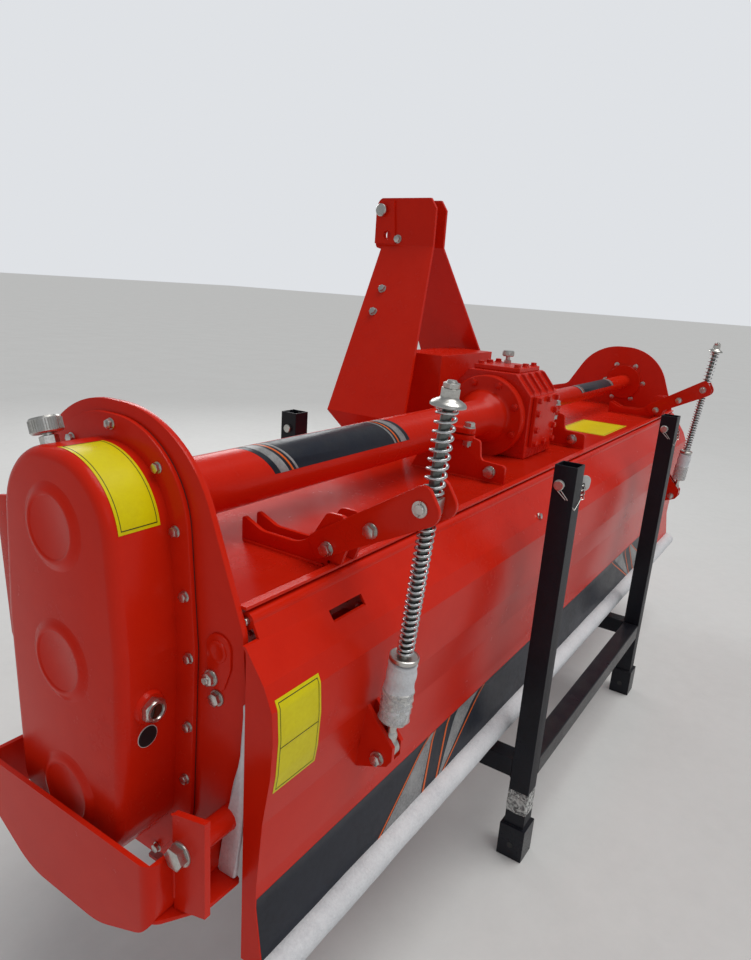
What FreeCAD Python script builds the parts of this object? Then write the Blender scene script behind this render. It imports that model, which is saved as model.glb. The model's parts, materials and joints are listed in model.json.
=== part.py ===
import FreeCAD, Part
import math
import os
import re
from types import SimpleNamespace

# Rotary tiller on its black shipping stand, millimetres.
# Machine frame: +X to the machine's right, +Y forward to the tractor, +Z up,
# with the rotor axis over y = 0, the mid-plane at x = 0 and the ground at z = 0.

doc = FreeCAD.newDocument("rotary_tiller")

# Driving dimensions: name, size, what it is
driving = [
    ("clearance", 6, "working clearance between bodies"),
    ("runningFit", 0.05, "radial play of a shaft in its bearing"),
    ("loosePin", 0.3, "radial play of a hinge or link pin"),
    ("eyePlay", 2, "radial play of the open spring rod eye"),
    ("bodyHalf", 1325, "mid-plane to the outer face of a side plate"),
    ("plateThick", 10, "side plate"),
    ("plateOver", 150, "main tube axis up to the top of a side plate"),
    ("plateFoot", 424, "bottom of a side plate"),
    ("plateMid", 10, "middle of a side plate ahead of the rotor plane"),
    ("plateNose", 354, "front edge of a side plate at the beam"),
    ("plateCrown", 133, "half width of a side plate's square top before it is rounded"),
    ("topRadius", 190, "round top of a side plate"),
    ("capWide", 140, "right bearing cap, diameter"),
    ("capOut", 40, "right side plate to the end of its bearing cap"),
    ("shoeHalf", 110, "half length of the wear shoe"),
    ("sheetThick", 5, "deck, flap and board sheet"),
    ("deckHigh", 904, "top of the deck"),
    ("ridgeBack", 229, "rotor plane to the folded rear lip"),
    ("ridgeUp", 11, "rise of the rear lip over the deck"),
    ("rotorHigh", 588, "rotor axis over the ground"),
    ("tubeRise", 106, "deck top up to the main tube axis"),
    ("beamBack", 268, "rotor plane to the rear face of the front beam"),
    ("beamSide", 80, "square front beam"),
    ("beamWall", 6, "front beam wall"),
    ("beamDrop", 42, "deck top down to the underside of the front beam"),
    ("flapDrop", 172, "underside of the front beam down to the foot of the flap"),
    ("flapLean", 16, "forward lean of the front flap"),
    ("coverMid", 20, "middle of the gear cover ahead of the rotor plane"),
    ("coverDepth", 96, "gear cover from its flange to its face"),
    ("coverOver", 96, "main tube axis up to the top of the cover's housing"),
    ("coverBelly", 828, "height at which the cover is widest"),
    ("coverFoot", 528, "where the cover starts to round in below"),
    ("coverHalf", 134, "half width of the cover's housing where it is widest"),
    ("coverCrown", 112, "round top of the cover's housing"),
    ("rimBevel", 14, "bevelled rim of the cover's housing"),
    ("flangeThick", 10, "gear cover flange"),
    ("flangeWide", 37, "flange of the gear cover round its housing"),
    ("dimple", 54, "raised round of the gear cover, radius"),
    ("dimpleRise", 6, "height of a raised round"),
    ("dimpleDrop", 13, "tube axis down to the first raised round"),
    ("idlerHigh", 795, "middle raised round over the ground"),
    ("guardOut", 137, "side plate to the outer face of the guard"),
    ("guardThick", 8, "guard strip"),
    ("guardHalf", 200, "half length of the guard strip"),
    ("bracketOut", 86, "side plate to the guard's bracket"),
    ("spacerWide", 36, "spacer of the guard bracket, diameter"),
    ("spacerY", -217, "guard bracket bolt, y"),
    ("spacerZ", 584, "guard bracket bolt, z"),
    ("leftTube", 100, "left main tube, diameter"),
    ("rightTube", 60, "right main tube, diameter"),
    ("wallFlange", 144, "right tube's flange at the side plate, diameter"),
    ("leftFlare", 148, "left tube's hub at the gearbox, diameter"),
    ("rightFlare", 120, "right tube's hub at the gearbox, diameter"),
    ("clampLeft", -403, "left tube clamp"),
    ("clampRight", 194, "right tube clamp"),
    ("clampThick", 10, "tube clamp plate"),
    ("boxHalf", 130, "mid-plane to a gearbox side flange face"),
    ("boxFlange", 230, "gearbox side flange, diameter"),
    ("boxRim", 28, "gearbox side flange"),
    ("hubLong", 55, "left tube's hub"),
    ("boxOver", 125, "main tube axis up to the top of the gearbox housing"),
    ("boxBack", 122, "gearbox housing behind the tube axis"),
    ("boxAhead", 122, "gearbox housing ahead of the tube axis"),
    ("ribCount", 4, "ribs on the gearbox shoulder"),
    ("bossLong", 50, "input boss ahead of the housing"),
    ("bossWide", 96, "input boss, diameter"),
    ("shaftLong", 130, "free length of the power input shaft"),
    ("shaftWide", 34.9, "power input shaft, diameter"),
    ("shieldHalf", 165, "mid-plane to a side of the shaft shield"),
    ("shieldOver", 156, "main tube axis up to the top of the shaft shield"),
    ("shieldLong", 140, "shaft shield, front to back"),
    ("shieldWall", 4, "shaft shield sheet"),
    ("mastThick", 10, "mast plate"),
    ("doubler", 6, "doubler round the link holes"),
    ("mastGap", 52, "clear gap between the mast heads"),
    ("mastRise", 558, "deck top up to the upper bend of the mast"),
    ("mastHead", 133, "upper bend to the top of the mast"),
    ("mastKnee", 84, "deck top up to the lower bend of the mast"),
    ("mastSpread", 305, "mid-plane to a mast plate at its lower bend"),
    ("mastBack", 261, "rear edge of the mast head"),
    ("mastFront", 464, "front edge of the mast head"),
    ("pinBack", 24, "front edge of the mast head back to the upper link pin"),
    ("pinOver", 98, "upper bend of the mast up to the upper link pin"),
    ("mastPin", 25, "upper link pin, diameter"),
    ("spareBack", 44, "front edge of the mast head back to the free link hole"),
    ("spareOver", 29, "upper bend of the mast up to the free link hole"),
    ("spareHole", 26, "free link hole, diameter"),
    ("hitchX", 412, "mid-plane to the middle of a lower hitch"),
    ("hitchOut", 80, "front of the beam to the lower hitch pin"),
    ("hitchDrop", 12, "underside of the front beam down to the lower hitch pin"),
    ("hitchPin", 28, "lower hitch pin, diameter"),
    ("hitchGap", 60, "clear gap in a lower hitch"),
    ("hitchThick", 12, "lower hitch plate"),
    ("hingePin", 12, "board hinge rod, diameter"),
    ("hingeRoll", 26, "rolled edge of the board, diameter"),
    ("hingeDrop", 12, "deck top down to the board hinge"),
    ("boardBack", 76, "board hinge back to the board's outermost bend"),
    ("boardDrop", 547, "board hinge down to the lower edge of the board"),
    ("cheekBack", 25, "board hinge back to the front edge of a cheek"),
    ("slotInset", 205, "side plate's outer face in to the middle of the board's slot"),
    ("slotLong", 84, "slot in the board's top panel"),
    ("slotHigh", 16, "slot in the board's top panel, height"),
    ("sleeveWide", 42, "foam pipe sleeve, diameter"),
    ("armInset", 240, "side plate's outer face in to a spring rod"),
    ("armThick", 8, "spring arm and gusset plate"),
    ("armGap", 44, "clear gap between the two arm plates"),
    ("armWide", 62, "width of an arm plate"),
    ("pivotRise", 137, "deck top up to the spring rod trunnion"),
    ("pivotBack", 140, "rear lip back to the spring rod trunnion"),
    ("lugBack", 33, "board's outermost bend back to the spring rod eye"),
    ("lugDrop", 272, "board hinge down to the spring rod eye"),
    ("lugPin", 16, "pin of the spring rod eye, diameter"),
    ("lugGap", 18, "clear gap between the two rod lugs"),
    ("rodWide", 16, "spring rod, diameter"),
    ("upperLong", 132, "upper spring"),
    ("upperWide", 33, "upper spring, outer diameter"),
    ("upperTurns", 8, "turns of the upper spring"),
    ("lowerLong", 238, "lower spring"),
    ("lowerWide", 28, "lower spring, outer diameter"),
    ("lowerTurns", 17, "turns of the lower spring"),
    ("springWire", 4.5, "spring wire"),
    ("blockSide", 30, "trunnion block, square"),
    ("blockHigh", 26, "trunnion block, height"),
    ("wrapWide", 40, "foam wrap on a spring rod, diameter"),
    ("wrapLong", 112, "foam wrap on a spring rod"),
    ("flangeInset", 110, "side plate's outer face in to the last rotor flange"),
    ("rotorTube", 89, "rotor tube, diameter"),
    ("stubWide", 45, "rotor stub shaft, diameter"),
    ("tineReach", 245, "rotor axis to a tine tip"),
    ("tineWide", 44, "tine across its root"),
    ("tineThick", 8, "tine"),
    ("tineFoot", 76, "bent foot of a tine, sideways"),
    ("rotorFlange", 210, "rotor flange, across corners"),
    ("flangeCount", 11, "rotor flanges"),
    ("tineCount", 6, "tines on a flange"),
    ("spiralTurn", 17, "turn from one rotor flange to the next, degrees"),
    ("postX", 489, "mid-plane to the middle of a stand post"),
    ("postBack", 377, "rotor plane to the middle of a rear post"),
    ("postFront", 384, "rotor plane to the middle of a front post"),
    ("postSide", 50, "stand tube"),
    ("postWall", 3, "stand tube wall"),
    ("postHigh", 1004, "stand height"),
    ("footSide", 65, "stand foot sleeve"),
    ("footHigh", 90, "stand foot sleeve height"),
    ("barTop", 270, "top of the stand's cross bars"),
    ("saddleLong", 220, "saddle under the rotor, front to back"),
    ("saddleHigh", 95, "saddle block height before it is hollowed"),
]
sheet = doc.addObject("Spreadsheet::Sheet", "Sizes")
d = SimpleNamespace()


def enter(row, name, size, note):
    sheet.set("A%d" % row, name)
    sheet.set("B%d" % row, "%.9g" % size)
    sheet.set("C%d" % row, note)
    sheet.setAlias("B%d" % row, name)
    setattr(d, name, float(size))


for row, (name, size, note) in enumerate(driving, start=1):
    enter(row, name, size, note)

# Places that follow from the driving dimensions: name, size, what it is.
# The finished model is centred on its own bounding box: the guard strip reaches furthest left,
# the bearing cap right, the stand's feet back and the mast head forward.
following = [
    ("frameX", (d.guardOut - d.capOut) / 2, "mid-plane to the middle of the whole"),
    ("frameY", (d.postBack + d.footSide / 2 - d.mastFront) / 2,
     "rotor plane to the middle of the whole"),
    ("innerHalf", d.bodyHalf - d.plateThick, "mid-plane to the inner face of a side plate"),
    ("boardHalf", d.bodyHalf + d.clearance + d.sheetThick, "mid-plane to the outer face of a board cheek"),
    ("rollHalf", d.bodyHalf - d.plateThick - d.clearance, "mid-plane to the end of the board's rolled edge"),
    ("rotorHalf", d.bodyHalf - d.flangeInset, "mid-plane to the last rotor flange"),
    ("armX", d.bodyHalf - d.armInset, "mid-plane to a spring rod"),
    ("slotX", d.bodyHalf - d.slotInset, "mid-plane to the middle of the board's slot"),
    ("tubeHigh", d.deckHigh + d.tubeRise, "main tube axis over the ground"),
    ("plateTop", d.deckHigh + d.tubeRise + d.plateOver, "top of a side plate"),
    ("coverTop", d.deckHigh + d.tubeRise + d.coverOver, "top of the cover's housing"),
    ("boxTop", d.deckHigh + d.tubeRise + d.boxOver, "top of the gearbox housing"),
    ("shieldTop", d.deckHigh + d.tubeRise + d.shieldOver, "top of the shaft shield"),
    ("housingHalf", d.boxHalf - d.boxRim, "mid-plane to a side of the gearbox housing"),
    ("beamLow", d.deckHigh - d.beamDrop, "underside of the front beam"),
    ("beamTop", d.deckHigh - d.beamDrop + d.beamSide, "top of the front beam"),
    ("beamFront", d.beamBack + d.beamSide, "rotor plane to the front face of the front beam"),
    ("flapFoot", d.deckHigh - d.beamDrop - d.flapDrop, "bottom of the front flap"),
    ("hingeY", -d.ridgeBack + 5, "board hinge line, y"),
    ("hingeZ", d.deckHigh - d.hingeDrop, "board hinge line, z"),
    ("boardFoot", d.deckHigh - d.hingeDrop - d.boardDrop, "lower edge of the board"),
    ("boardY", -d.ridgeBack + 5 - d.boardBack, "board at its outermost bend, y"),
    ("pivotY", -d.ridgeBack - d.pivotBack, "spring rod trunnion, y"),
    ("pivotZ", d.deckHigh + d.pivotRise, "spring rod trunnion, z"),
    ("lugY", -d.ridgeBack + 5 - d.boardBack - d.lugBack, "spring rod eye on the board, y"),
    ("lugZ", d.deckHigh - d.hingeDrop - d.lugDrop, "spring rod eye on the board, z"),
    ("mastFoot", d.deckHigh + d.mastKnee, "lower bend of the mast"),
    ("mastBend", d.deckHigh + d.mastRise, "upper bend of the mast"),
    ("mastTop", d.deckHigh + d.mastRise + d.mastHead, "top of the mast"),
    ("mastPinY", d.mastFront - d.pinBack, "upper link pin, y"),
    ("mastPinZ", d.deckHigh + d.mastRise + d.pinOver, "upper link pin, z"),
    ("spareHoleY", d.mastFront - d.spareBack, "free link hole, y"),
    ("spareHoleZ", d.deckHigh + d.mastRise + d.spareOver, "free link hole, z"),
    ("hitchY", d.beamBack + d.beamSide + d.hitchOut, "lower hitch pin, y"),
    ("hitchZ", d.deckHigh - d.beamDrop - d.hitchDrop, "lower hitch pin, z"),
    ("springRest", d.blockHigh / 2 + 1, "trunnion to the seat of a spring"),
]
for row, (name, size, note) in enumerate(following, start=len(driving) + 1):
    enter(row, name, size, note)
doc.recompute()
frameShift = {"x": " + frameX", "y": " + frameY", "z": ""}

turnTo = {
    "x": FreeCAD.Rotation(FreeCAD.Vector(0, 1, 0), 90),
    "y": FreeCAD.Rotation(FreeCAD.Vector(1, 0, 0), -90),
    "z": FreeCAD.Rotation(),
}
alongX = FreeCAD.Vector(1, 0, 0)
alongY = FreeCAD.Vector(0, 1, 0)
alongZ = FreeCAD.Vector(0, 0, 1)
sides = (("left", -1), ("right", 1))
pieces = []


def vec(x, y, z):
    return FreeCAD.Vector(x, y, z)


# Document objects whose sizes and places follow the sheet
def bind(thing, prop, text):
    thing.setExpression(prop, re.sub(r"\b([a-z]\w*)", r"Sizes.\1", text))


def seat(thing, base):
    for axis, text in zip("xyz", base):
        bind(thing, "Placement.Base." + axis, text + frameShift[axis])


def box(name, size, base):
    thing = doc.addObject("Part::Box", name)
    for prop, text in zip(("Length", "Width", "Height"), size):
        bind(thing, prop, text)
    seat(thing, base)
    return thing


def rod(name, radius, length, base, axis):
    thing = doc.addObject("Part::Cylinder", name)
    thing.Placement = FreeCAD.Placement(vec(0, 0, 0), turnTo[axis])
    bind(thing, "Radius", radius)
    bind(thing, "Height", length)
    seat(thing, base)
    return thing


def cone(name, start, end, length, base, axis):
    thing = doc.addObject("Part::Cone", name)
    thing.Placement = FreeCAD.Placement(vec(0, 0, 0), turnTo[axis])
    bind(thing, "Radius1", start)
    bind(thing, "Radius2", end)
    bind(thing, "Height", length)
    seat(thing, base)
    return thing


def fuse(name, things):
    joined = doc.addObject("Part::MultiFuse", name)
    joined.Shapes = things
    joined.Refine = True
    return joined


def cut(name, base, tool):
    left = doc.addObject("Part::Cut", name)
    left.Base = base
    left.Tool = tool
    return left


def group(name, things):
    together = doc.addObject("Part::Compound", name)
    together.Links = things
    return together


def keep(label, thing):
    thing.Label = label
    pieces.append(thing)
    return thing


def keepShape(label, shape):
    thing = doc.addObject("Part::Feature", label)
    thing.Shape = shape
    thing.Placement = FreeCAD.Placement(vec(d.frameX, d.frameY, 0), FreeCAD.Rotation())
    return keep(label, thing)


# The edges of an outline of corners (u, v) or (u, v, radius): straight runs and round corners
def outlineEdges(corners):
    count = len(corners)
    turns = []
    for i, corner in enumerate(corners):
        here = vec(corner[0], corner[1], 0)
        if len(corner) < 3:
            turns.append((here, None, here))
            continue
        back = (vec(corners[i - 1][0], corners[i - 1][1], 0) - here).normalize()
        after = corners[(i + 1) % count]
        ahead = (vec(after[0], after[1], 0) - here).normalize()
        half = back.getAngle(ahead) / 2
        reach = corner[2] / math.tan(half)
        top = here + (back + ahead).normalize() * (corner[2] / math.sin(half) - corner[2])
        turns.append((here + back * reach, top, here + ahead * reach))
    edges = []
    for i, (enterAt, top, leaveAt) in enumerate(turns):
        if top is not None:
            edges.append(Part.Arc(enterAt, top, leaveAt))
        following = turns[(i + 1) % count][0]
        if (following - leaveAt).Length > 1e-6:
            edges.append(Part.LineSegment(leaveAt, following))
    return edges


# Bodies of sketched features. Side sketches read (y, z) and grow to +X from an offset along X,
# front sketches read (x, z) and grow to +Y, and plan sketches read (x, y) and grow to +Z.
# An outline is a list of corners, or one tuple (u, v, radius) for a circle.
planes = {
    # plane: role of the origin plane, sign of its normal along the growing axis
    "side": ("YZ_Plane", 1),
    "front": ("XZ_Plane", -1),
    "plan": ("XY_Plane", 1),
}


def newBody(label):
    body = doc.addObject("PartDesign::Body", label)
    seat(body, ("0", "0", "0"))
    return body


def drawnSketch(body, name, plane, offset, outlines):
    role, sign = planes[plane]
    support = [feature for feature in body.Origin.OriginFeatures if feature.Role == role][0]
    sketch = body.newObject("Sketcher::SketchObject", name)
    sketch.AttachmentSupport = [(support, "")]
    sketch.MapMode = "FlatFace"
    bind(sketch, "AttachmentOffset.Base.z", offset if sign > 0 else "-(" + offset + ")")
    for outline in outlines:
        if isinstance(outline, tuple):
            sketch.addGeometry(Part.Circle(vec(outline[0], outline[1], 0), alongZ, outline[2]), False)
        else:
            sketch.addGeometry(outlineEdges(outline), False)
    return sketch


def pad(body, name, plane, offset, outlines, length):
    feature = body.newObject("PartDesign::Pad", "pad_" + name)
    feature.Profile = drawnSketch(body, name, plane, offset, outlines)
    bind(feature, "Length", length)
    feature.Reversed = planes[plane][1] < 0
    return feature


def pocket(body, name, plane, offset, outlines, length):
    feature = body.newObject("PartDesign::Pocket", "pocket_" + name)
    feature.Profile = drawnSketch(body, name, plane, offset, outlines)
    bind(feature, "Length", length)
    feature.Reversed = planes[plane][1] > 0
    return feature


def rectangle(left, low, right, high):
    return [(left, low), (right, low), (right, high), (left, high)]


# Small pins and their holes are drawn as many-sided rings, a pin's corners inside its hole's flats
def facetedRing(u, v, radius, count=16):
    ring = []
    for k in range(count):
        angle = 2 * math.pi * (k + 0.5) / count
        ring.append((u + math.cos(angle) * radius, v + math.sin(angle) * radius))
    return ring


# A frame of stock round an outline: a pocket of both trims a body to that outline
def around(outline, reach=3000):
    return [[(-reach, -reach), (reach, -reach), (reach, reach), (-reach, reach)], outline]


# The closed outline of a bent sheet from its outer line (u, v), with its thickness to the right of the line
def sheetOutline(line, thick):
    inner = []
    for i, (y, z) in enumerate(line):
        normals = []
        for start, end in ((i - 1, i), (i, i + 1)):
            if start < 0 or end >= len(line):
                continue
            dy = line[end][0] - line[start][0]
            dz = line[end][1] - line[start][1]
            run = math.hypot(dy, dz)
            normals.append((dz / run, -dy / run))
        ny = sum(n[0] for n in normals) / len(normals)
        nz = sum(n[1] for n in normals) / len(normals)
        stretch = thick / (ny * ny + nz * nz)
        inner.append((y + ny * stretch, z + nz * stretch))
    return line + inner[::-1]


# Shapes for the wound springs and the bladed rotor
def frontSlab(corners, y, thick):
    flat = Part.Face(Part.Wire([edge.toShape() for edge in outlineEdges(corners)]))
    flat.Placement = FreeCAD.Placement(vec(0, y, 0), FreeCAD.Rotation(alongX, alongZ, vec(0, -1, 0)))
    return flat.extrude(vec(0, thick, 0))


def prism(count, radius, long, at, along):
    corners = []
    for k in range(count):
        angle = 2 * math.pi * k / count
        corners.append(vec(radius * math.cos(angle), radius * math.sin(angle), 0))
    solid = Part.Face(Part.makePolygon(corners + corners[:1])).extrude(vec(0, 0, long))
    solid.Placement = FreeCAD.Placement(at, FreeCAD.Rotation(alongZ, along))
    return solid


def coil(radius, wire, turns, long, at, along):
    place = FreeCAD.Placement(at, FreeCAD.Rotation(alongZ, along))
    perTurn = 6
    steps = int(turns) * perTurn
    rise = (long - wire) / steps
    stations = []
    for i in range(steps + 1):
        angle = 2 * math.pi * i / perTurn
        ring = []
        for r, z in ((radius, wire / 2), (radius - wire, wire), (radius - wire, 0)):
            ring.append(place.multVec(vec(r * math.cos(angle), r * math.sin(angle), rise * i + z)))
        stations.append(ring)
    faces = [Part.Face(Part.makePolygon(stations[0] + stations[0][:1])),
             Part.Face(Part.makePolygon(stations[-1] + stations[-1][:1]))]
    for here, there in zip(stations, stations[1:]):
        for k in range(3):
            quad = [here[k], there[k], there[(k + 1) % 3], here[(k + 1) % 3]]
            for row in (quad[:3], [quad[0], quad[2], quad[3]]):
                faces.append(Part.Face(Part.makePolygon(row + row[:1])))
    solid = Part.Solid(Part.Shell(faces))
    if solid.Volume < 0:
        solid.reverse()
    return solid


# Stand: four open square posts in foot sleeves, joined by cross bars
posts = [
    # name, x, y
    ("rear_left", "-postX", "-postBack"),
    ("rear_right", "postX", "-postBack"),
    ("front_left", "-postX", "postFront"),
    ("front_right", "postX", "postFront"),
]
for name, x, y in posts:
    body = fuse("post_body_" + name, [
        box("post_tube_" + name, ("postSide", "postSide", "postHigh"),
            (x + " - postSide / 2", y + " - postSide / 2", "0")),
        box("post_foot_" + name, ("footSide", "footSide", "footHigh"),
            (x + " - footSide / 2", y + " - footSide / 2", "0")),
    ])
    bore = box("post_bore_" + name, ("postSide - 2 * postWall", "postSide - 2 * postWall", "postHigh + 2"),
               (x + " - postSide / 2 + postWall", y + " - postSide / 2 + postWall", "-1"))
    keep("stand_post_" + name, cut("post_" + name, body, bore))

acrossBar = ("2 * postX - postSide", "postSide", "postSide")
alongBar = ("postSide", "postBack + postFront - postSide", "postSide")
bars = [
    # name, size, x, y
    ("rear_bar", acrossBar, "-postX + postSide / 2", "-postBack - postSide / 2"),
    ("front_bar", acrossBar, "-postX + postSide / 2", "postFront - postSide / 2"),
    ("side_bar_left", alongBar, "-postX - postSide / 2", "-postBack + postSide / 2"),
    ("side_bar_right", alongBar, "postX - postSide / 2", "-postBack + postSide / 2"),
]
for name, size, x, y in bars:
    keep("stand_" + name, box("bar_" + name, size, (x, y, "barTop - postSide")))

# Saddles on the stand's side bars, hollowed to the rotor's sweep with clearance to spare
saddles = []
for name, x in (("left", "-postX"), ("right", "postX")):
    saddles.append(cut("saddle_" + name,
                       box("saddle_block_" + name, ("postSide - 10", "saddleLong", "saddleHigh"),
                           (x + " - postSide / 2 + 5", "-saddleLong / 2", "barTop")),
                       rod("saddle_sweep_" + name, "tineReach + clearance", "postSide",
                           (x + " - postSide / 2", "0", "rotorHigh"), "x")))
keep("stand_saddles", group("saddle_pair", saddles))

# Spacer plates that bolt the front posts to the front beam
brackets = []
for name, x in (("left", "-postX"), ("right", "postX")):
    brackets.append(box("bracket_" + name, ("postSide", "postFront - postSide / 2 - beamFront", "beamSide"),
                        (x + " - postSide / 2", "beamFront", "beamLow")))
keep("stand_brackets", group("bracket_pair", brackets))

# Side plates: round top about the main tube, widening down to the deck's rear lip,
# with a nose that carries the front beam, a round foot and a bore for the rotor's stub shaft
mid = d.plateMid
sideOutline = [
    (mid - d.plateCrown, d.plateTop, d.topRadius),
    (mid - 243, d.deckHigh - 24, 60),
    (mid - 250, d.deckHigh - 119),
    (mid - 240, d.plateFoot + 140),
    (mid - 205, d.plateFoot + 64),
    (mid - 120, d.plateFoot),
    (mid + 120, d.plateFoot),
    (mid + 215, d.plateFoot + 64),
    (d.plateNose - 30, d.flapFoot - 40),
    (d.plateNose - 14, d.flapFoot),
    (d.plateNose, d.beamTop - 30),
    (d.plateNose, d.beamTop + 6),
    (d.plateNose - 30, d.beamTop + 12),
    (mid + 243, d.beamTop + 30, 40),
    (mid + d.plateCrown, d.plateTop, d.topRadius),
]
shoeOutline = [
    (-d.shoeHalf, d.plateFoot + 26),
    (-d.shoeHalf + 10, d.plateFoot - 4),
    (d.shoeHalf - 10, d.plateFoot - 4),
    (d.shoeHalf, d.plateFoot + 26),
]
stubCircle = (0, d.rotorHigh, d.stubWide / 2 + d.runningFit)
for name, sign in sides:
    body = newBody("side_plate_" + name)
    outer = "innerHalf" if sign > 0 else "-bodyHalf"
    boreFrom = "innerHalf - 1" if sign > 0 else "-bodyHalf - 1"
    pad(body, "plate_" + name, "side", outer, [sideOutline], "plateThick")
    if sign > 0:
        pad(body, "bearing_cap", "side", "bodyHalf", [(0, d.rotorHigh, d.capWide / 2)], "capOut")
        pad(body, "wear_shoe", "side", "bodyHalf", [shoeOutline], "plateThick - 1")
    pocket(body, "stub_bore_" + name, "side", boreFrom, [stubCircle], "plateThick + 12")
    keep("side_plate_" + name, body)

# Deck with its folded rear lip, and the front flap under the beam
deckLine = [
    (-d.ridgeBack, d.deckHigh + d.ridgeUp),
    (-d.ridgeBack + 14, d.deckHigh + d.ridgeUp),
    (-d.ridgeBack + 28, d.deckHigh),
    (d.beamBack, d.deckHigh),
]
flapTop = d.beamFront - d.flapLean - d.sheetThick
flapLine = [
    (flapTop, d.beamLow),
    (flapTop + d.flapLean, d.flapFoot + 40),
    (flapTop + d.flapLean - 8, d.flapFoot),
]
for label, line in (("deck", deckLine), ("front_flap", flapLine)):
    body = newBody(label)
    pad(body, label + "_sheet", "side", "-innerHalf", [sheetOutline(line, d.sheetThick)], "2 * innerHalf")
    keep(label, body)
keep("front_beam", cut(
    "front_beam_tube",
    box("beam_outer", ("2 * innerHalf", "beamSide", "beamSide"), ("-innerHalf", "beamBack", "beamLow")),
    box("beam_inner", ("2 * bodyHalf", "beamSide - 2 * beamWall", "beamSide - 2 * beamWall"),
        ("-bodyHalf", "beamBack + beamWall", "beamLow + beamWall"))))
keep("hinge_rod", rod("hinge_rod_bar", "hingePin / 2", "2 * innerHalf",
                      ("-innerHalf", "hingeY", "hingeZ"), "x"))

# Gear cover: bolted flange, housing with a round crown and a bevelled rim, and three raised rounds
def coverOutline(out):
    # the housing's outline, or that of the flange a width further out
    return [
        (d.coverMid - d.coverCrown - out, d.coverTop + out, d.coverCrown + out),
        (d.coverMid - d.coverHalf - out, d.coverBelly),
        (d.coverMid - d.coverHalf + 12 - out, d.coverFoot, 60 + out),
        (d.coverMid - 76, d.coverFoot - 62 - out),
        (d.coverMid + 76, d.coverFoot - 62 - out),
        (d.coverMid + d.coverHalf - 6 + out, d.coverFoot, 60 + out),
        (d.coverMid + d.coverHalf + out, d.coverBelly),
        (d.coverMid + d.coverCrown + out, d.coverTop + out, d.coverCrown + out),
    ]


cover = newBody("gear_cover")
pad(cover, "cover_flange", "side", "-bodyHalf - flangeThick", [coverOutline(d.flangeWide)], "flangeThick")
coverFace = "-bodyHalf - flangeThick - coverDepth"
housing = pad(cover, "cover_housing", "side", coverFace, [coverOutline(0)], "coverDepth")
doc.recompute()
rimEdges = []
for index, edge in enumerate(housing.Shape.Edges, start=1):
    if abs(edge.BoundBox.XMax + d.bodyHalf + d.flangeThick + d.coverDepth) < 0.01:
        rimEdges.append("Edge%d" % index)
bevel = cover.newObject("PartDesign::Chamfer", "cover_rim")
bevel.Base = (housing, rimEdges)
bind(bevel, "Size", "rimBevel")
gearLine = (d.tubeHigh - d.dimpleDrop, d.idlerHigh, d.rotorHigh - d.dimpleDrop)
dimples = [facetedRing(d.coverMid, z, d.dimple, 18) for z in gearLine]
pad(cover, "dimples", "side", coverFace + " - dimpleRise", dimples, "dimpleRise")
keep("gear_cover", cover)

# Guard: a strip bent round the foot of the gear cover, on a bolted rear bracket
guardX = -d.bodyHalf - d.guardOut
guardPlan = [
    (guardX, -d.guardHalf, 22),
    (-d.bodyHalf, -d.guardHalf),
    (-d.bodyHalf, -d.guardHalf + d.guardThick),
    (guardX + d.guardThick, -d.guardHalf + d.guardThick),
    (guardX + d.guardThick, d.guardHalf - d.guardThick),
    (-d.bodyHalf, d.guardHalf - d.guardThick),
    (-d.bodyHalf, d.guardHalf),
    (guardX, d.guardHalf, 22),
]
guardTrim = [
    (-d.guardHalf - 1, d.rotorHigh - 14),
    (-d.guardHalf - 1, d.rotorHigh - 122, 60),
    (-80, d.plateFoot - 12, 120),
    (90, d.plateFoot - 12, 120),
    (d.guardHalf + 1, d.rotorHigh - 100, 60),
    (d.guardHalf + 1, d.rotorHigh - 14),
]
bracketOutline = [
    (d.spacerY - 45, d.spacerZ + 71),
    (d.spacerY - 45, d.spacerZ - 84),
    (-d.guardHalf, d.spacerZ - 104),
    (-d.guardHalf, d.spacerZ + 56),
]
guard = newBody("gear_guard")
pad(guard, "guard_strip", "plan", "plateFoot - 20", [guardPlan], "220")
pocket(guard, "guard_trim", "side", "-bodyHalf - guardOut - 1", around(guardTrim), "guardOut + 2")
pad(guard, "guard_bracket", "side", "-bodyHalf - bracketOut - 10", [bracketOutline], "10")
pad(guard, "guard_spacer", "side", "-bodyHalf - bracketOut",
    [facetedRing(d.spacerY, d.spacerZ, d.spacerWide / 2)], "bracketOut")
keep("gear_guard", guard)

# Main tubes, each with the round flange that closes a side of the gearbox, its hub, and its clamp
# to the deck: a stepped plate and a bolted ear behind the tube
clampOutline = [
    (-198, d.deckHigh),
    (-198, d.deckHigh + 46),
    (-132, d.deckHigh + 50),
    (-126, d.deckHigh + 92),
    (0, d.tubeHigh),
    (60, d.deckHigh),
]
earOutline = [(0, d.tubeHigh - 14), (0, d.tubeHigh + 16), (-108, d.tubeHigh + 16), (-108, d.tubeHigh - 14)]
tubeParts = {
    "left": [
        rod("left_pipe", "leftTube / 2", "innerHalf - boxHalf", ("-innerHalf", "0", "tubeHigh"), "x"),
        cone("left_hub", "leftTube / 2", "leftFlare / 2", "hubLong",
             ("-boxHalf - hubLong", "0", "tubeHigh"), "x"),
        rod("left_flange", "boxFlange / 2", "boxRim", ("-boxHalf", "0", "tubeHigh"), "x"),
    ],
    "right": [
        rod("right_pipe", "rightTube / 2", "innerHalf - boxHalf", ("boxHalf", "0", "tubeHigh"), "x"),
        rod("right_hub", "rightFlare / 2", "clampThick + 4", ("boxHalf", "0", "tubeHigh"), "x"),
        rod("right_flange", "boxFlange / 2", "boxRim", ("boxHalf - boxRim", "0", "tubeHigh"), "x"),
        rod("wall_flange", "wallFlange / 2", "12", ("innerHalf - 12", "0", "tubeHigh"), "x"),
    ],
}
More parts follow.
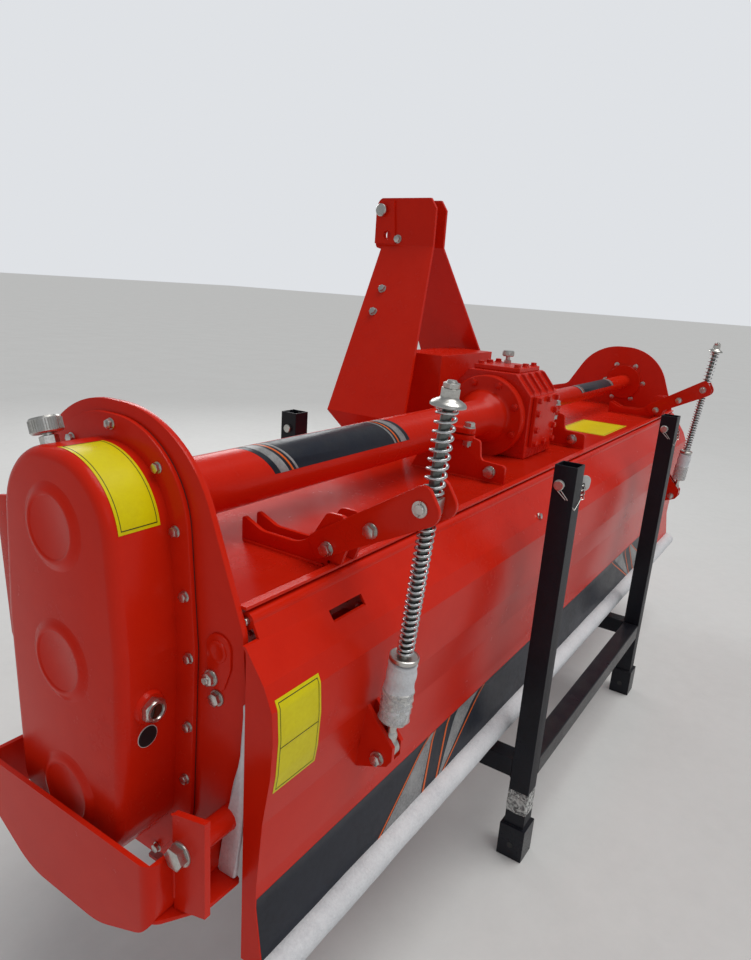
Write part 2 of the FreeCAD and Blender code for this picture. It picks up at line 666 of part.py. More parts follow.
for name, clampX in (("left", "clampLeft"), ("right", "clampRight")):
    clamp = newBody("clamp_" + name)
    pad(clamp, "clamp_plate_" + name, "side", clampX + " - clampThick / 2", [clampOutline], "clampThick")
    pad(clamp, "clamp_ear_" + name, "side", clampX + " - 16", [earOutline], "32")
    foot = box("flange_foot_" + name, ("2 * boxHalf", "boxFlange", "boxFlange"),
               ("-boxHalf", "-boxFlange / 2", "deckHigh - boxFlange"))
    tube = fuse("tube_with_clamp_" + name, tubeParts[name] + [clamp])
    keep("tube_" + name, cut("tube_over_deck_" + name, tube, foot))

# Gearbox: housing with a ribbed rear shoulder and the input boss, between the round flanges of the tubes
shoulderY = -d.boxBack + 50
shoulderZ = d.boxTop - 56
profile = [
    (-d.boxBack, d.deckHigh),
    (-d.boxBack, shoulderZ),
    (shoulderY, d.boxTop),
    (d.boxAhead - 50, d.boxTop),
    (d.boxAhead, shoulderZ),
    (d.boxAhead, d.deckHigh),
]
ribOutline = [
    (-d.boxBack, shoulderZ - 10),
    (-d.boxBack, shoulderZ + 14),
    (shoulderY - 14, d.boxTop),
    (shoulderY, d.boxTop),
]
gearbox = newBody("gearbox")
pad(gearbox, "box_housing", "side", "-housingHalf", [profile], "2 * housingHalf")
for i in range(int(d.ribCount)):
    ribFrom = "-housingHalf + 24 + %d * (2 * housingHalf - 54) / (ribCount - 1)" % i
    pad(gearbox, "box_rib_%d" % i, "side", ribFrom, [ribOutline], "6")
pad(gearbox, "box_boss", "front", "boxAhead", [(0, d.tubeHigh, d.bossWide / 2)], "bossLong")
keep("gearbox", gearbox)
keep("gearbox_top_cover", box("top_cover_plate", ("150", "140", "13"), ("-75", "-70", "boxTop")))
keep("gearbox_rear_cover", box("rear_cover_plate", ("2 * boxHalf - 100", "12", "142"),
                               ("-boxHalf + 50", "-boxBack - 12", "tubeHigh - 74")))
keep("pto_shaft", rod("input_shaft", "shaftWide / 2", "shaftLong",
                      ("0", "boxAhead + bossLong", "tubeHigh"), "y"))

# Shaft shield: a folded hood ahead of the gearbox, open forward and down, with a hole for the input boss
shieldBack = d.boxAhead + d.clearance
shieldTrim = [
    (shieldBack, d.deckHigh),
    (shieldBack + d.shieldLong - 50, d.deckHigh),
    (shieldBack + d.shieldLong, d.shieldTop - 60),
    (shieldBack + d.shieldLong, d.shieldTop),
    (shieldBack, d.shieldTop),
]
insideHalf = d.shieldHalf - d.shieldWall
hole = d.bossWide / 2 + 17
hoodOutline = rectangle(-d.shieldHalf, d.deckHigh, d.shieldHalf, d.shieldTop)
hoodInside = rectangle(-insideHalf, d.deckHigh - 1, insideHalf, d.shieldTop - d.shieldWall)
bossHole = rectangle(-hole, d.tubeHigh - hole, hole, d.tubeHigh + hole)
hood = newBody("pto_shield")
pad(hood, "hood", "front", "boxAhead + clearance", [hoodOutline], "shieldLong")
pocket(hood, "hood_inside", "front", "boxAhead + clearance + shieldWall", [hoodInside], "shieldLong")
pocket(hood, "hood_hole", "front", "boxAhead + clearance - 1", [bossHole], "shieldWall + 2")
pocket(hood, "hood_trim", "side", "-shieldHalf - 1", around(shieldTrim), "2 * shieldHalf + 2")
keep("pto_shield", hood)

# Mast: two bent plates that lean together into the upper link head, with a doubler round its holes
headX = d.mastGap / 2
lean = [(headX, d.mastTop), (headX, d.mastBend), (d.mastSpread, d.mastFoot), (d.mastSpread, d.deckHigh)]
run = math.hypot(d.mastSpread - headX, d.mastBend - d.mastFoot)
slope = d.mastThick * (d.mastBend - d.mastFoot) / run
offset = [(x + d.mastThick, z + shift) for (x, z), shift in zip(lean, (0, (d.mastThick - slope) / 2, 2, 0))]
mastTrim = [
    (d.mastBack, d.mastBend),
    (d.mastBack, d.mastTop - 28),
    (d.mastBack + 20, d.mastTop + 1),
    (d.mastFront, d.mastTop + 1, 24),
    (d.mastFront, d.mastBend - 6, 18),
    (d.mastFront - 26, d.mastBend - 12),
    (d.beamFront + 59, d.mastFoot),
    (d.beamFront, d.beamTop),
    (d.beamBack, d.beamTop),
    (d.beamBack, d.deckHigh),
    (d.beamBack - 118, d.deckHigh),
    (d.beamBack - 118, d.mastFoot),
]
doublerOutline = [
    (d.mastFront - 62, d.mastTop - 6),
    (d.mastFront - 1, d.mastTop - 24),
    (d.mastFront - 1, d.mastBend + 4),
    (d.mastFront - 74, d.mastBend + 4),
]
linkHoles = [
    facetedRing(d.mastPinY, d.mastPinZ, d.mastPin / 2 + 2 * d.loosePin),
    (d.spareHoleY, d.spareHoleZ, d.spareHole / 2),
]
for name, sign in sides:
    body = newBody("mast_plate_" + name)
    folded = [(sign * x, z) for x, z in lean + offset[::-1]]
    inner = "mastGap / 2" if sign > 0 else "-mastGap / 2 - mastThick - doubler"
    outer = "mastGap / 2 + mastThick" if sign > 0 else "-mastGap / 2 - mastThick - doubler"
    far = "0" if sign > 0 else "-2 * mastSpread"
    pad(body, "mast_fold_" + name, "front", "beamBack - 128", [folded], "mastFront - beamBack + 140")
    pocket(body, "mast_trim_" + name, "side", far, around(mastTrim), "2 * mastSpread")
    pad(body, "mast_doubler_" + name, "side", outer, [doublerOutline], "doubler")
    pocket(body, "link_holes_" + name, "side", inner + " - 1", linkHoles, "mastThick + doubler + 2")
    keep("mast_plate_" + name, body)
pinFrom = "-mastGap / 2 - mastThick - doubler - 14"
pin = newBody("mast_pin")
pad(pin, "mast_pin_bar", "side", pinFrom, [facetedRing(d.mastPinY, d.mastPinZ, d.mastPin / 2)],
    "mastGap + 2 * mastThick + 2 * doubler + 44")
keep("mast_pin", pin)

# Lower hitches: two pairs of plates on the front beam with a link pin through each
hitchOutline = [
    (d.beamFront, d.beamLow - 40),
    (d.hitchY + 16, d.hitchZ - 40),
    (d.hitchY + 32, d.hitchZ - 22),
    (d.hitchY + 32, d.hitchZ + 38),
    (d.beamFront, d.beamTop),
]
hitches = []
for name, sign in sides:
    middle = "hitchX" if sign > 0 else "-hitchX"
    hitch = newBody("hitch_" + name)
    rows = [
        # name, outline, offset from the middle, length
        ("hitch_pin_", facetedRing(d.hitchY, d.hitchZ, d.hitchPin / 2), " - hitchGap / 2", "hitchGap"),
        ("hitch_inner_", hitchOutline, " - hitchGap / 2 - hitchThick", "hitchThick"),
        ("hitch_outer_", hitchOutline, " + hitchGap / 2", "hitchThick"),
    ]
    for plate, outline, offsetX, length in rows:
        pad(hitch, plate + name, "side", middle + offsetX, [outline], length)
    hitches.append(hitch)
keep("lower_hitches", group("hitch_pair", hitches))

# Spring arms: a pair of gusset plates on the deck, and two plates out to the trunnion
lipY = -d.ridgeBack
armRoot = vec(0, lipY + 21, d.deckHigh + 36)
armEnd = vec(0, d.pivotY, d.pivotZ)
armBack = (armEnd - armRoot).normalize()
armUp = vec(0, armBack.z, -armBack.y)
gussetOutline = [
    (-20, d.deckHigh + 46),
    (-20, d.deckHigh),
    (lipY + 28, d.deckHigh),
    (lipY + 14, d.deckHigh + d.ridgeUp),
    (lipY - 2, d.deckHigh + d.ridgeUp),
    (lipY - 14, d.deckHigh + 56),
    (lipY - 4, d.deckHigh + 76),
    (lipY + 20, d.deckHigh + 88),
    (lipY + 96, d.deckHigh + 30),
    (-60, d.deckHigh + 30),
]
armOutline = []
for along, up, radius in ((-28, -0.18, 0), (26, -0.5, 20), (26, 0.5, 14), (-28, 0.5, 0)):
    corner = (armRoot if along < 0 else armEnd) + armBack * along + armUp * (up * d.armWide)
    armOutline.append((corner.y, corner.z, radius) if radius else (corner.y, corner.z))
trunnionHole = facetedRing(d.pivotY, d.pivotZ, d.rodWide / 2 + 2 * d.loosePin)
arms = []
for name, sign in sides:
    middle = "armX" if sign > 0 else "-armX"
    halves = [
        # name, gusset's and arm plate's offset from the rod
        ("inner_" + name, " - armGap / 2", " - armGap / 2 - armThick"),
        ("outer_" + name, " + armGap / 2 - armThick", " + armGap / 2"),
    ]
    for half, gussetAt, armAt in halves:
        arm = newBody("arm_" + half)
        pad(arm, "gusset_" + half, "side", middle + gussetAt, [gussetOutline], "armThick")
        pad(arm, "arm_plate_" + half, "side", middle + armAt, [armOutline], "armThick")
        pocket(arm, "trunnion_hole_" + half, "side", middle + " - armGap", [trunnionHole], "2 * armGap")
        arms.append(arm)
keep("spring_arms", group("arm_set", arms))

# Trailing board: rolled hinge edge, bent sheet with a slot near each end, cheeks and rod lugs
boardLine = [
    (d.hingeY - d.hingeRoll / 2, d.hingeZ),
    (d.hingeY - 24, d.hingeZ - 20),
    (d.boardY + 18, d.hingeZ - 67),
    (d.boardY + 3, d.hingeZ - 101),
    (d.boardY, d.hingeZ - 147),
    (d.boardY + 3, d.hingeZ - 204),
    (d.boardY + 15, d.hingeZ - 284),
    (d.boardY + 23, d.hingeZ - 393),
    (d.boardY + 24, d.boardFoot + 112),
    (d.boardY + 11, d.boardFoot + 24),
    (d.boardY + 8, d.boardFoot),
]
cheekFront = d.hingeY - d.cheekBack
cheekOutline = boardLine[1:] + [(cheekFront, d.boardFoot), (cheekFront, d.hingeZ - 40)]
lugOutline = [
    (d.boardY + 4, d.lugZ + 70),
    (d.boardY + 20, d.lugZ - 54),
    (d.lugY - 8, d.lugZ - 28),
    (d.lugY - 17, d.lugZ - 14),
    (d.lugY - 17, d.lugZ + 10),
]
endCorner = rectangle(d.hingeY - 32, d.hingeZ - 20, d.hingeY + 20, d.hingeZ + 20)
slotLow = d.hingeZ - 44
board = newBody("board")
pad(board, "board_sheet", "side", "-boardHalf", [sheetOutline(boardLine[::-1], d.sheetThick)],
    "2 * boardHalf")
for name, sign in sides:
    endFrom = "rollHalf" if sign > 0 else "-boardHalf - 1"
    cheekFrom = "boardHalf - sheetThick" if sign > 0 else "-boardHalf"
    middle = "armX" if sign > 0 else "-armX"
    slotMiddle = sign * d.slotX
    slotOutline = rectangle(slotMiddle - d.slotLong / 2, slotLow,
                            slotMiddle + d.slotLong / 2, slotLow + d.slotHigh)
    pocket(board, "board_corner_" + name, "side", endFrom, [endCorner], "boardHalf + 1 - rollHalf")
    pocket(board, "slot_" + name, "front", "boardY", [slotOutline], "60")
    rows = [
        # name, outline, offset, length
        ("cheek_", cheekOutline, cheekFrom, "sheetThick"),
        ("lug_inner_", lugOutline, middle + " - lugGap / 2 - armThick", "armThick"),
        ("lug_outer_", lugOutline, middle + " + lugGap / 2", "armThick"),
        ("lug_pin_", facetedRing(d.lugY, d.lugZ, d.lugPin / 2), middle + " - lugGap / 2", "lugGap"),
    ]
    for piece, outline, offsetX, length in rows:
        pad(board, piece + name, "side", offsetX, [outline], length)
pad(board, "board_roll", "side", "-rollHalf", [(d.hingeY, d.hingeZ, d.hingeRoll / 2)], "2 * rollHalf")
hingeBore = (d.hingeY, d.hingeZ, d.hingePin / 2 + d.loosePin)
pocket(board, "board_bore", "side", "-bodyHalf", [hingeBore], "2 * bodyHalf")
keep("board", board)
keep("foam_sleeve", rod("foam_pipe", "sleeveWide / 2", "2 * boardHalf",
                        ("-boardHalf", "boardY + 6", "boardFoot - sleeveWide / 2"), "x"))

# Spring rods: trunnion block, rod with its washers, nuts, cup and eye, two springs and a foam wrap
down = vec(0, d.lugY - d.pivotY, d.lugZ - d.pivotZ)
rodLong = down.Length
down.normalize()
up = down * -1
eyeHalf = d.lugGap / 2 - 2
eyeHigh = d.lugPin / 2 + d.eyePlay + 7
for name, sign in sides:
    pivot = vec(sign * d.armX, d.pivotY, d.pivotZ)
    eye = vec(sign * d.armX, d.lugY, d.lugZ)
    block = Part.makeBox(d.blockSide, d.blockSide, d.blockHigh,
                         vec(-d.blockSide / 2, -d.blockSide / 2, -d.blockHigh / 2))
    block.Placement = FreeCAD.Placement(pivot, FreeCAD.Rotation(alongZ, up))
    pinLong = d.armGap + 2 * d.armThick + 12
    block = block.fuse(prism(16, d.rodWide / 2, pinLong, pivot - alongX * (pinLong / 2), alongX))
    block = block.cut(prism(12, d.rodWide / 2 + 1, 2 * d.blockHigh, pivot - up * d.blockHigh, up))
    keepShape("trunnion_" + name, block)
    upperEnd = d.springRest + d.upperLong
    lowerEnd = d.springRest + d.lowerLong
    eyeBlock = Part.makeBox(2 * eyeHalf, 2 * eyeHigh, 2 * eyeHigh, vec(-eyeHalf, -eyeHigh, -eyeHigh))
    eyeBlock.Placement = FreeCAD.Placement(eye, FreeCAD.Rotation(alongX, up.cross(alongX), up))
    shank = prism(12, d.rodWide / 2, rodLong + upperEnd + 36 - eyeHigh, eye + up * eyeHigh, up)
    dome = prism(16, 26, 10, pivot + up * upperEnd, up)
    nut = prism(6, 15, 20, pivot + up * (upperEnd + 10), up)
    cup = prism(16, 24, 8, pivot + down * (lowerEnd + 8), up)
    eyeBore = prism(16, d.lugPin / 2 + d.eyePlay, 40, eye - alongX * 20, alongX)
    keepShape("spring_rod_" + name, shank.fuse([dome, nut, cup, eyeBlock]).cut(eyeBore))
    springs = [
        # name, width, turns, length, seat
        ("upper", d.upperWide, d.upperTurns, d.upperLong, pivot + up * d.springRest),
        ("lower", d.lowerWide, d.lowerTurns, d.lowerLong, pivot + down * lowerEnd),
    ]
    for place, wide, turns, long, seatAt in springs:
        keepShape("spring_%s_%s" % (place, name), coil(wide / 2, d.springWire, turns, long, seatAt, up))
    wrapAt = pivot + down * (lowerEnd + 9 + d.wrapLong)
    wrap = prism(12, d.wrapWide / 2, d.wrapLong, wrapAt, up)
    keepShape("foam_wrap_" + name, wrap.cut(prism(12, d.rodWide / 2 + 0.6, d.wrapLong, wrapAt, up)))

# Rotor: tube with stub shafts, twelve-sided flanges and L-shaped tines set in a spiral
tubeHalf = d.innerHalf - 2 * d.clearance
rotor = prism(12, d.rotorTube / 2, 2 * tubeHalf, vec(-tubeHalf, 0, d.rotorHigh), alongX)
stubHalf = d.innerHalf - 2
rotor = rotor.fuse(Part.makeCylinder(d.stubWide / 2, 2 * stubHalf, vec(-stubHalf, 0, d.rotorHigh), alongX))
tipOut = math.sqrt(d.tineReach ** 2 - (d.tineWide / 2) ** 2)
root = d.rotorTube / 2 + 12


def tine(side):
    inner = 5 * side
    outer = inner + d.tineThick * side
    tip = inner + d.tineFoot * side
    strip = [
        (inner, root),
        (outer, root),
        (outer, tipOut - d.tineThick),
        (tip, tipOut - d.tineThick),
        (tip, tipOut),
        (inner, tipOut),
    ]
    return frontSlab(strip, -d.tineWide / 2, d.tineWide)


step = 2 * d.rotorHalf / (d.flangeCount - 1)
added = []
for i in range(int(d.flangeCount)):
    star = prism(12, d.rotorFlange / 2, 10, vec(-5, 0, 0), alongX)
    for k in range(int(d.tineCount)):
        blade = tine(1 if k % 2 == 0 else -1)
        blade.rotate(vec(0, 0, 0), alongX, 360.0 * k / d.tineCount)
        star = star.fuse(blade)
    star = star.removeSplitter()
    star.rotate(vec(0, 0, 0), alongX, d.spiralTurn * i)
    star.translate(vec(-d.rotorHalf + i * step, 0, d.rotorHigh))
    added.append(star)
keepShape("rotor", rotor.fuse(added))

doc.recompute()

faults = [thing.Name for thing in doc.Objects if "Invalid" in thing.State or "Error" in thing.State]
for piece in pieces:
    if piece.Shape.isNull() or not piece.Shape.isValid():
        faults.append(piece.Label)
if faults:
    raise SystemExit("not sound: " + ", ".join(faults))

os.makedirs("parts", exist_ok=True)
for piece in pieces:
    piece.Shape.exportStep("parts/%s.step" % piece.Label)
reach = [piece.Shape.BoundBox for piece in pieces]
print("wrote", len(pieces), "parts, from",
      min(b.XMin for b in reach), min(b.YMin for b in reach), min(b.ZMin for b in reach), "to",
      max(b.XMax for b in reach), max(b.YMax for b in reach), max(b.ZMax for b in reach))
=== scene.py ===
import json
import math

import bmesh
import bpy
from mathutils import Matrix, Vector, noise


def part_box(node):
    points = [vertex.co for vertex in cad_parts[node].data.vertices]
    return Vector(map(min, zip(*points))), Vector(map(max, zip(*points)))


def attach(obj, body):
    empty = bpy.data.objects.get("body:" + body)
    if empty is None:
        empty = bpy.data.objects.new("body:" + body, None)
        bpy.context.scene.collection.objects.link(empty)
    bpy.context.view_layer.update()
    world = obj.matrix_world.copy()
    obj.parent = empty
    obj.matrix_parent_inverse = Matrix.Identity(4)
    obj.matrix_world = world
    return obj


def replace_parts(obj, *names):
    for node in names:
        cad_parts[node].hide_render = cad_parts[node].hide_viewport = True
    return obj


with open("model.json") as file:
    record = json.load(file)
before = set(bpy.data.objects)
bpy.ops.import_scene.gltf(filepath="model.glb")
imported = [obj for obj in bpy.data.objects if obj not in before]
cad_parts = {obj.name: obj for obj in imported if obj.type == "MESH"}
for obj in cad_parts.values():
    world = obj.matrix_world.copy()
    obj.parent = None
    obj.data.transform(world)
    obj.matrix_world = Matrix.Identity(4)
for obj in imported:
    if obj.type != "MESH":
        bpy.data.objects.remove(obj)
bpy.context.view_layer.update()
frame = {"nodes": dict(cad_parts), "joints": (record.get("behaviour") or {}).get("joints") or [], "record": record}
print("frame loaded,", len(frame["nodes"]), "parts")

joints = {joint["name"]: joint for joint in frame["joints"]}
machineZero = Vector(joints["rotor_spin"]["pos_m"])
machineZero.z = 0
xAxis, yAxis, zAxis = Vector((1, 0, 0)), Vector((0, 1, 0)), Vector((0, 0, 1))
sides = {"left": -1, "right": 1}
quarter = math.pi / 2
vertKind, edgeKind, faceKind = bmesh.types.BMVert, bmesh.types.BMEdge, bmesh.types.BMFace


# a point of the machine, in millimetres from its mid-plane, its rotor plane and the ground
def at(x, y, z):
    return machineZero + Vector((x, y, z)) / 1000


def facing(place, direction):
    return Matrix.Translation(place) @ Vector(direction).to_track_quat("Z", "Y").to_matrix().to_4x4()


# a frame at a point of the machine, with its Z along a direction
def seat(x, y, z, direction):
    return facing(at(x, y, z), direction)


# a frame at a place whose local X and Y run along the two given directions
def laidAlong(place, alongU, alongV):
    u, v = Vector(alongU).normalized(), Vector(alongV).normalized()
    return Matrix.Translation(place) @ Matrix((u, v, u.cross(v))).transposed().to_4x4()


# side outlines read (y, z) and grow to the machine's right, top outlines read (x, y) and grow up
def sideFrame(x):
    return laidAlong(at(x, 0, 0), yAxis, zAxis)


def topFrame(x, y, z):
    return laidAlong(at(x, y, z), xAxis, yAxis)


# a frame shifted along its own axes, in millimetres, or turned about one of them
def shifted(place, x, y, z):
    return place @ Matrix.Translation(Vector((x, y, z)) / 1000)


def turned(place, angle, axis):
    return place @ Matrix.Rotation(angle, 4, axis)


# node groups that several finishes share

def newGroup(name, inputs, outputs):
    group = bpy.data.node_groups.new(name, "ShaderNodeTree")
    for socketName, kind, value in inputs:
        socket = group.interface.new_socket(socketName, in_out="INPUT", socket_type="NodeSocket" + kind)
        socket.default_value = value
    for socketName, kind in outputs:
        group.interface.new_socket(socketName, in_out="OUTPUT", socket_type="NodeSocket" + kind)
    return group, group.nodes.new("NodeGroupInput"), group.nodes.new("NodeGroupOutput")


def addNode(tree, kind, inputs=None, **settings):
    node = tree.nodes.new("ShaderNode" + kind)
    for key, value in settings.items():
        setattr(node, key, value)
    for key, value in (inputs or {}).items():
        node.inputs[key].default_value = value
    return node


# rows read: source node, its output, target node, its input
def linkAll(tree, *rows):
    for source, output, target, place in rows:
        tree.links.new(source.outputs[output], target.inputs[place])


def buildMottleGroup():
    # two scales of soft noise, used to vary a colour and its gloss
    group, ins, outs = newGroup("mottle", [("Scale", "Float", 6.0), ("Strength", "Float", 0.5)], [("Mask", "Float")])
    coords = addNode(group, "TexCoord")
    broad = addNode(group, "TexNoise", {"Detail": 4.0, "Roughness": 0.6})
    fine = addNode(group, "TexNoise", {"Detail": 6.0, "Roughness": 0.7})
    finer = addNode(group, "Math", {1: 9.0}, operation="MULTIPLY")
    both = addNode(group, "Math", operation="MULTIPLY")
    level = addNode(group, "MapRange", {"From Min": 0.12, "From Max": 0.42, "To Min": 0.0})
    linkAll(group, (coords, "Object", broad, "Vector"), (coords, "Object", fine, "Vector"),
            (ins, "Scale", broad, "Scale"), (ins, "Scale", finer, 0), (finer, 0, fine, "Scale"),
            (broad, "Fac", both, 0), (fine, "Fac", both, 1), (both, 0, level, "Value"),
            (ins, "Strength", level, "To Max"), (level, "Result", outs, "Mask"))
    return group


def buildDustGroup():
    # pale dust that settles on what faces up, broken by noise
    inputs = [("Color", "Color", (1, 1, 1, 1)), ("Dust", "Color", (0.5, 0.44, 0.38, 1)), ("Amount", "Float", 0.2)]
    group, ins, outs = newGroup("settledDust", inputs, [("Color", "Color"), ("Mask", "Float")])
    coords = addNode(group, "TexCoord")
    geometry = addNode(group, "NewGeometry")
    upward = addNode(group, "SeparateXYZ")
    patches = addNode(group, "TexNoise", {"Scale": 9.0, "Detail": 8.0, "Roughness": 0.75})
    facingUp = addNode(group, "MapRange", {"From Min": 0.1, "From Max": 1.0, "To Min": 0.15, "To Max": 1.0})
    patchy = addNode(group, "MapRange", {"From Min": 0.42, "From Max": 0.8})
    joined = addNode(group, "Math", operation="MULTIPLY")
    scaled = addNode(group, "Math", operation="MULTIPLY")
    mix = addNode(group, "Mix", data_type="RGBA")
    linkAll(group, (coords, "Object", patches, "Vector"), (patches, "Fac", patchy, "Value"),
            (geometry, "Normal", upward, 0), (upward, "Z", facingUp, "Value"),
            (facingUp, "Result", joined, 0), (patchy, "Result", joined, 1),
            (joined, 0, scaled, 0), (ins, "Amount", scaled, 1), (scaled, 0, mix, "Factor"), (ins, "Color", mix, "A"),
            (ins, "Dust", mix, "B"), (mix, "Result", outs, "Color"), (scaled, 0, outs, "Mask"))
    return group


mottleGroup = buildMottleGroup()
dustGroup = buildDustGroup()


finishes = {
    # name: colour, deeper colour, metal, least and most rough, specular level, coat, grain scale and depth,
    # mottle scale, dust
    "redPaint": ((0.68, 0.018, 0.004), (0.62, 0.014, 0.003), 0, (0.2, 0.3), 0.14, 0.03, 420, 0.0004, 3, 0.02),
    "castRed": ((0.64, 0.015, 0.004), (0.54, 0.011, 0.003), 0, (0.22, 0.36), 0.2, 0.03, 150, 0.002, 9, 0.03),
    "rotorPaint": ((0.46, 0.014, 0.005), (0.34, 0.01, 0.005), 0, (0.3, 0.5), 0.2, 0.05, 300, 0.001, 7, 0.08),
    "blackPaint": ((0.012, 0.013, 0.019), (0.007, 0.007, 0.01), 0, (0.26, 0.4), 0.2, 0.03, 300, 0.001, 8, 0.05),
    "zinc": ((0.66, 0.65, 0.62), (0.46, 0.45, 0.42), 1, (0.24, 0.4), 0.5, 0, 180, 0.0008, 30, 0.05),
    "springSteel": ((0.7, 0.71, 0.72), (0.52, 0.53, 0.54), 1, (0.2, 0.34), 0.5, 0, 160, 0.0004, 24, 0.03),
    "bareSteel": ((0.5, 0.49, 0.47), (0.36, 0.34, 0.31), 1, (0.3, 0.45), 0.5, 0, 220, 0.001, 22, 0.05),
    # darker steel that paints the shade on the rods inside the springs
    "rodShadeSteel": ((0.21, 0.225, 0.215), (0.12, 0.13, 0.125), 1, (0.3, 0.45), 0.5, 0, 220, 0.001, 22, 0.05),
    "whiteFoam": ((0.76, 0.77, 0.79), (0.6, 0.61, 0.64), 0, (0.6, 0.8), 0.5, 0, 240, 0.004, 16, 0.14),
    "labelYellow": ((0.78, 0.68, 0), (0.7, 0.58, 0), 0, (0.3, 0.42), 0.2, 0.05, 500, 0.0002, 14, 0.06),
    "labelBlack": ((0.012, 0.012, 0.014), (0.02, 0.02, 0.022), 0, (0.28, 0.4), 0.2, 0.05, 500, 0.0002, 14, 0.04),
    "filmNavy": ((0.016, 0.02, 0.032), (0.011, 0.013, 0.02), 0, (0.3, 0.44), 0.2, 0.05, 500, 0.0002, 9, 0.06),
    "filmOrange": ((0.78, 0.14, 0.012), (0.66, 0.1, 0.01), 0, (0.3, 0.42), 0.2, 0.05, 500, 0.0002, 14, 0.04),
    "filmSilver": ((0.34, 0.34, 0.34), (0.14, 0.14, 0.145), 0, (0.3, 0.44), 0.2, 0.05, 500, 0.0002, 22, 0.05),
    "labelWhite": ((0.7, 0.7, 0.68), (0.56, 0.56, 0.54), 0, (0.35, 0.5), 0.5, 0.2, 300, 0.0004, 20, 0.05),
    # near-black; it also paints the shade of the gear cover's flange seam and of the stand's foot holes
    "rubberAndShade": ((0.012, 0.012, 0.013), (0.02, 0.02, 0.02), 0, (0.5, 0.7), 0.5, 0, 200, 0.001, 20, 0.1),
    "glassDark": ((0.03, 0.016, 0.008), (0.012, 0.008, 0.006), 0, (0.06, 0.12), 0.5, 0.8, 60, 0.0001, 20, 0.03),
    "floorPale": ((0.66, 0.66, 0.65), (0.62, 0.62, 0.61), 0, (0.6, 0.8), 0.5, 0, 60, 0.001, 2, 0),
}
slotFinish = {"red_paint": "redPaint", "rotor_paint": "rotorPaint", "black_paint": "blackPaint", "zinc": "zinc",
              "spring_steel": "springSteel", "bare_steel": "bareSteel", "white_foam": "whiteFoam"}


def makeFinish(name, color, deep, metal, rough, shine, coat, grainScale, grainDepth, mottleScale, dustAmount):
    material = bpy.data.materials.new(name)
    material.use_nodes = True
    tree = material.node_tree
    shader = tree.nodes["Principled BSDF"]
    for socket, value in (("Metallic", metal), ("Coat Weight", coat), ("Coat Roughness", 0.08),
                          ("Specular IOR Level", shine)):
        shader.inputs[socket].default_value = value
    coords = addNode(tree, "TexCoord")
    mottle = addNode(tree, "Group", {"Scale": mottleScale, "Strength": 1.0}, node_tree=mottleGroup)
    tone = addNode(tree, "Mix", {"A": (*color, 1), "B": (*deep, 1)}, data_type="RGBA")
    dust = addNode(tree, "Group", {"Amount": dustAmount}, node_tree=dustGroup)
    gloss = addNode(tree, "MapRange", {"To Min": rough[0], "To Max": rough[1]})
    dulled = addNode(tree, "Math", operation="ADD", use_clamp=True)
    grain = addNode(tree, "TexNoise", {"Scale": grainScale, "Detail": 2.0})
    bump = addNode(tree, "Bump", {"Strength": 0.4, "Distance": grainDepth})
    linkAll(tree, (mottle, "Mask", tone, "Factor"), (mottle, "Mask", gloss, "Value"),
            (tone, "Result", dust, "Color"), (dust, "Color", shader, "Base Color"),
            (gloss, "Result", dulled, 0), (dust, "Mask", dulled, 1),
            (dulled, 0, shader, "Roughness"), (coords, "Object", grain, "Vector"), (grain, "Fac", bump, "Height"),
            (bump, "Normal", shader, "Normal"))
    return material


def makeTapeFinish():
    # clear packing tape, seen where it creases
    material = makeFinish("clearTape", *finishes["labelWhite"])
    tree = material.node_tree
    coords = addNode(tree, "TexCoord")
    creases = addNode(tree, "TexNoise", {"Scale": 70.0, "Detail": 3.0, "Distortion": 1.5})
    seen = addNode(tree, "MapRange", {"From Min": 0.4, "From Max": 0.62, "To Min": 0.22, "To Max": 0.95})
    linkAll(tree, (coords, "Object", creases, "Vector"), (creases, "Fac", seen, "Value"),
            (seen, "Result", tree.nodes["Principled BSDF"], "Alpha"))
    return material


materials = {name: makeFinish(name, *look) for name, look in finishes.items()}
materials["clearTape"] = makeTapeFinish()
print("finishes made")


# mesh helpers; outlines, profiles and sizes are in millimetres

def newObject(name, data):
    made = bpy.data.objects.new(name, data)
    bpy.context.scene.collection.objects.link(made)
    return made


def finishPiece(name, bm, finish, body, smoothAngle=40, bevel=0.0, segments=2, bevelAngle=32):
    mesh = bpy.data.meshes.new(name)
    bm.to_mesh(mesh)
    bm.free()
    mesh.polygons.foreach_set("use_smooth", [True] * len(mesh.polygons))
    mesh.set_sharp_from_angle(angle=math.radians(smoothAngle))
    mesh.materials.clear()
    mesh.materials.append(materials[finish])
    piece = newObject(name, mesh)
    if bevel:
        rounding = piece.modifiers.new("rounding", "BEVEL")
        rounding.width = bevel / 1000
        rounding.segments = segments
        rounding.limit_method = "ANGLE"
        rounding.angle_limit = math.radians(bevelAngle)
        rounding.harden_normals = True
    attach(piece, body)
    return piece


# puts a small mesh, turned to its place, into the piece that is being built
def absorb(bm, part, place=None):
    bmesh.ops.recalc_face_normals(part, faces=part.faces)
    if place is not None:
        bmesh.ops.transform(part, matrix=place, verts=part.verts)
    mesh = bpy.data.meshes.new("part")
    part.to_mesh(mesh)
    part.free()
    bm.from_mesh(mesh)
    bpy.data.meshes.remove(mesh)


def only(geom, kind):
    return [item for item in geom if isinstance(item, kind)]


def spin(part, geom, angle, steps, centre=(0, 0, 0), rise=0.0, merge=False):
    return bmesh.ops.spin(part, geom=geom, cent=centre, axis=zAxis, dvec=(0, 0, rise), angle=angle, steps=steps,
                          use_merge=merge, use_duplicate=False)["geom_last"]


def closeEnds(part):
    bmesh.ops.holes_fill(part, edges=[edge for edge in part.edges if edge.is_boundary], sides=0)


